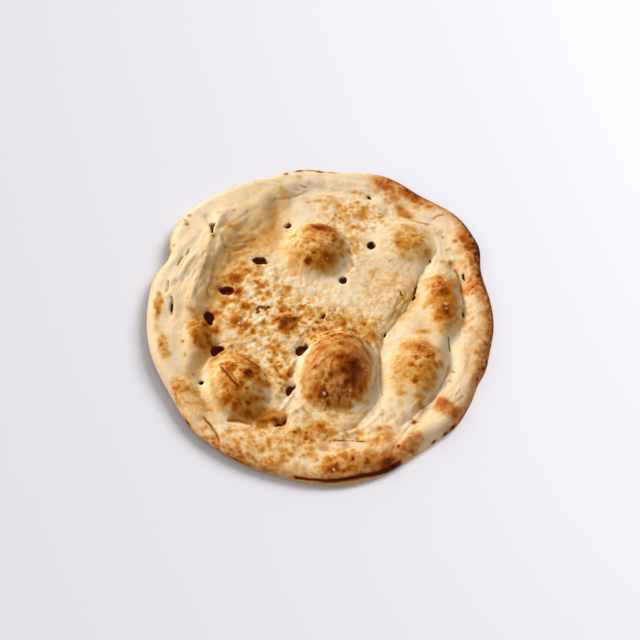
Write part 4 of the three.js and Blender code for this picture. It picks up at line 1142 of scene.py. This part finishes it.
class Shader:
    """A material's nodes, with short calls for the kinds that are used here."""

    def __init__(self, name):
        self.material = bpy.data.materials.new(name)
        self.material.use_nodes = True
        self.tree = self.material.node_tree
        self.tree.nodes.clear()
        self.shader = self.add("ShaderNodeBsdfPrincipled")
        self.add("ShaderNodeOutputMaterial", {"Surface": self.shader.outputs["BSDF"]})

    def put(self, node, values):
        """Sets a node's inputs to numbers and colours, or links them to other nodes' outputs."""
        for name, value in values.items():
            if isinstance(value, bpy.types.NodeSocket):
                self.tree.links.new(value, node.inputs[name])
            else:
                node.inputs[name].default_value = value

    def add(self, kind, values=None, **settings):
        """A new node with its settings and inputs."""
        node = self.tree.nodes.new(kind)
        for name, setting in settings.items():
            setattr(node, name, setting)
        self.put(node, values or {})
        return node

    def attribute(self, name):
        """One of the mesh's looks."""
        return self.add("ShaderNodeAttribute", attribute_name=name).outputs["Fac"]

    def noise(self, size, detail=2, roughness=0.5, distortion=0.0):
        """Noise of 0 to 1 whose bumps are about that many millimetres wide."""
        place = self.add("ShaderNodeTexCoord").outputs["Object"]
        values = {"Vector": place, "Scale": 1 / (size * MM), "Detail": detail, "Roughness": roughness,
                  "Distortion": distortion}
        return self.add("ShaderNodeTexNoise", values).outputs["Fac"]

    def math(self, operation, *values):
        """An operation on two or three values."""
        return self.add("ShaderNodeMath", dict(enumerate(values)), operation=operation).outputs[0]

    def span(self, value, low, high, to_low, to_high):
        """A value moved from one range to another, and kept inside it."""
        values = {"Value": value, "From Min": low, "From Max": high, "To Min": to_low, "To Max": to_high}
        return self.add("ShaderNodeMapRange", values).outputs["Result"]

    def ramp(self, value, stops):
        """The colour at a value, between the two nearest stops."""
        node = self.add("ShaderNodeValToRGB", {"Fac": value})
        elements = node.color_ramp.elements
        while len(elements) < len(stops):
            elements.new(0.5)
        for element, (place, colour) in zip(elements, stops):
            element.position = place
            element.color = surface_colour(colour)
        return node.outputs["Color"]

    def mix(self, share, first, second):
        """The first colour, with a share of the second one."""
        return self.add("ShaderNodeMix", {0: share, 6: first, 7: second}, data_type="RGBA").outputs[2]

    def bump(self, height, strength, distance):
        """A normal that makes the surface look raised by a height, in millimetres where it is 1."""
        values = {"Strength": strength, "Distance": distance * MM, "Height": height}
        return self.add("ShaderNodeBump", values).outputs["Normal"]


def crust_baking(paint):
    """How far each point of the crust is toasted, with the painted shade that its mesh look carries, its
    grain and the underside's mottle.
    """
    grain = paint.noise(size=1.3, detail=3, roughness=0.6)
    speckle = paint.noise(size=0.45)
    mottle = paint.noise(size=7, detail=5, roughness=0.6, distortion=0.1)
    mottle = paint.span(mottle, 0.4, 0.72, 0.14, 0.9)
    baked_and_shaded = paint.math("MULTIPLY_ADD", paint.attribute("under"), mottle, paint.attribute("baked_and_shaded"))
    strength = paint.math("MULTIPLY_ADD", paint.attribute("ruddy"), RUDDY_GRAIN, GRAIN)
    baked_and_shaded = paint.math("MULTIPLY_ADD", paint.math("SUBTRACT", grain, 0.5), strength, baked_and_shaded)
    return paint.math("MULTIPLY_ADD", paint.math("SUBTRACT", speckle, 0.5), SPECKLE, baked_and_shaded)


def make_crust():
    """Baked dough: pale, golden, brown and charred by how far each point is toasted, with painted shade
    and painted glint highlights mixed in.
    """
    paint = Shader("baked_crust")
    baked_and_shaded = crust_baking(paint)
    golden, reddish = paint.ramp(baked_and_shaded, BAKING), paint.ramp(baked_and_shaded, RUDDY_BAKING)
    colour = paint.mix(paint.attribute("ruddy"), golden, reddish)
    for name, tint, strength in TINTS:
        share = paint.math("MULTIPLY", paint.attribute(name), strength)
        colour = paint.mix(share, colour, surface_colour(tint))
    grain = paint.noise(size=1.1, detail=4, roughness=0.62)
    paint.put(paint.shader, {
        "Base Color": colour,
        "Roughness": paint.span(baked_and_shaded, 0.1, 0.75, 0.75, 0.5),
        "Specular IOR Level": 0.04,
        "Coat Weight": paint.math("MULTIPLY", paint.attribute("gloss_and_painted_glint"), 0.6),
        "Coat Roughness": 0.14,
        "Coat IOR": 1.8,
        "Subsurface Weight": 0.08,
        "Subsurface Radius": (1.0, 0.5, 0.25),
        "Subsurface Scale": 2.5 * MM,
        "Normal": paint.bump(grain, strength=0.6, distance=0.25),
    })
    return paint.material


def make_floor_paint():
    """The floor's plain pale paint."""
    paint = Shader("pale_floor")
    paint.put(paint.shader, {"Base Color": FLOOR_COLOUR, "Roughness": 0.6})
    return paint.material


# ---- stage ----

CAMERA_LENS = 60.0
CAMERA_DISTANCE = 640.0
CAMERA_ELEVATION = 56.5
CAMERA_TARGET = (-0.3, -6.8, 6.0)       # in the bread's own millimetres
FLOOR_HALF = 3.0                        # in metres
WARM_WHITE = (1.0, 0.98, 0.95)
COOL_WHITE = (0.98, 0.98, 1.0)


def add_floor():
    """The floor under the bread."""
    mesh = bpy.data.meshes.new("floor")
    corners = [(-FLOOR_HALF, -FLOOR_HALF, 0), (FLOOR_HALF, -FLOOR_HALF, 0),
               (FLOOR_HALF, FLOOR_HALF, 0), (-FLOOR_HALF, FLOOR_HALF, 0)]
    mesh.from_pydata(corners, [], [(0, 1, 2, 3)])
    mesh.materials.append(make_floor_paint())
    floor = add_object("floor", mesh)
    return floor


def add_light(name, only, place, size, watts, colour):
    """A soft square light that faces the bread and lights only one object."""
    data = bpy.data.lights.new(name, "AREA")
    data.size = size
    data.energy = watts
    data.color = colour
    light = add_object(name, data)
    light.location = place
    light.rotation_euler = (-Vector(place)).to_track_quat("-Z", "Y").to_euler()
    lit = bpy.data.collections.new(f"lit_by_{name}")
    lit.objects.link(only)
    light.light_linking.receiver_collection = lit


def add_camera(middle):
    """The camera, at the photograph's height and distance."""
    low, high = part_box(NODE)
    target = Vector((
        (CAMERA_TARGET[0] - middle[0]) * MM + (low[0] + high[0]) / 2,
        (CAMERA_TARGET[1] - middle[1]) * MM + (low[1] + high[1]) / 2,
        CAMERA_TARGET[2] * MM,
    ))
    slope = math.radians(CAMERA_ELEVATION)
    back = Vector((0, -math.cos(slope), math.sin(slope)))
    data = bpy.data.cameras.new("camera")
    data.lens = CAMERA_LENS
    data.sensor_width = 36
    data.clip_end = 20
    camera = add_object("camera", data)
    camera.location = target + back * CAMERA_DISTANCE * MM
    camera.rotation_euler = (-back).to_track_quat("-Z", "Y").to_euler()
    bpy.context.scene.camera = camera


def set_world():
    """A soft and slightly warm light from all around."""
    world = bpy.data.worlds.new("studio")
    world.use_nodes = True
    background = world.node_tree.nodes["Background"]
    background.inputs["Color"].default_value = (*WARM_WHITE, 1)
    background.inputs["Strength"].default_value = 0.5
    bpy.context.scene.world = world


# ---- the scene ----

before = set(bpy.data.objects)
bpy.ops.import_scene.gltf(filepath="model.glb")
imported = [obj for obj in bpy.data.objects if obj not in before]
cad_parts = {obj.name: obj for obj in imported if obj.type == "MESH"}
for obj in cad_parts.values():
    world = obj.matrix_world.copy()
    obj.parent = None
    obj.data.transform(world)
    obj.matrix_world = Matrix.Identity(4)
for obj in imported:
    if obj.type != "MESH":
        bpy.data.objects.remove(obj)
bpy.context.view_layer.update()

bread, table_middle = add_bread(make_crust())
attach(bread, "root")
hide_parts(NODE)

floor = add_floor()
add_camera(table_middle)
set_world()
add_light("key", bread, place=(-1.5, 1.1, 1.24), size=0.5, watts=62, colour=WARM_WHITE)
add_light("side", floor, place=(1.4, 0.9, 1.8), size=1.2, watts=50, colour=COOL_WHITE)
bpy.context.scene.view_settings.view_transform = "Standard"
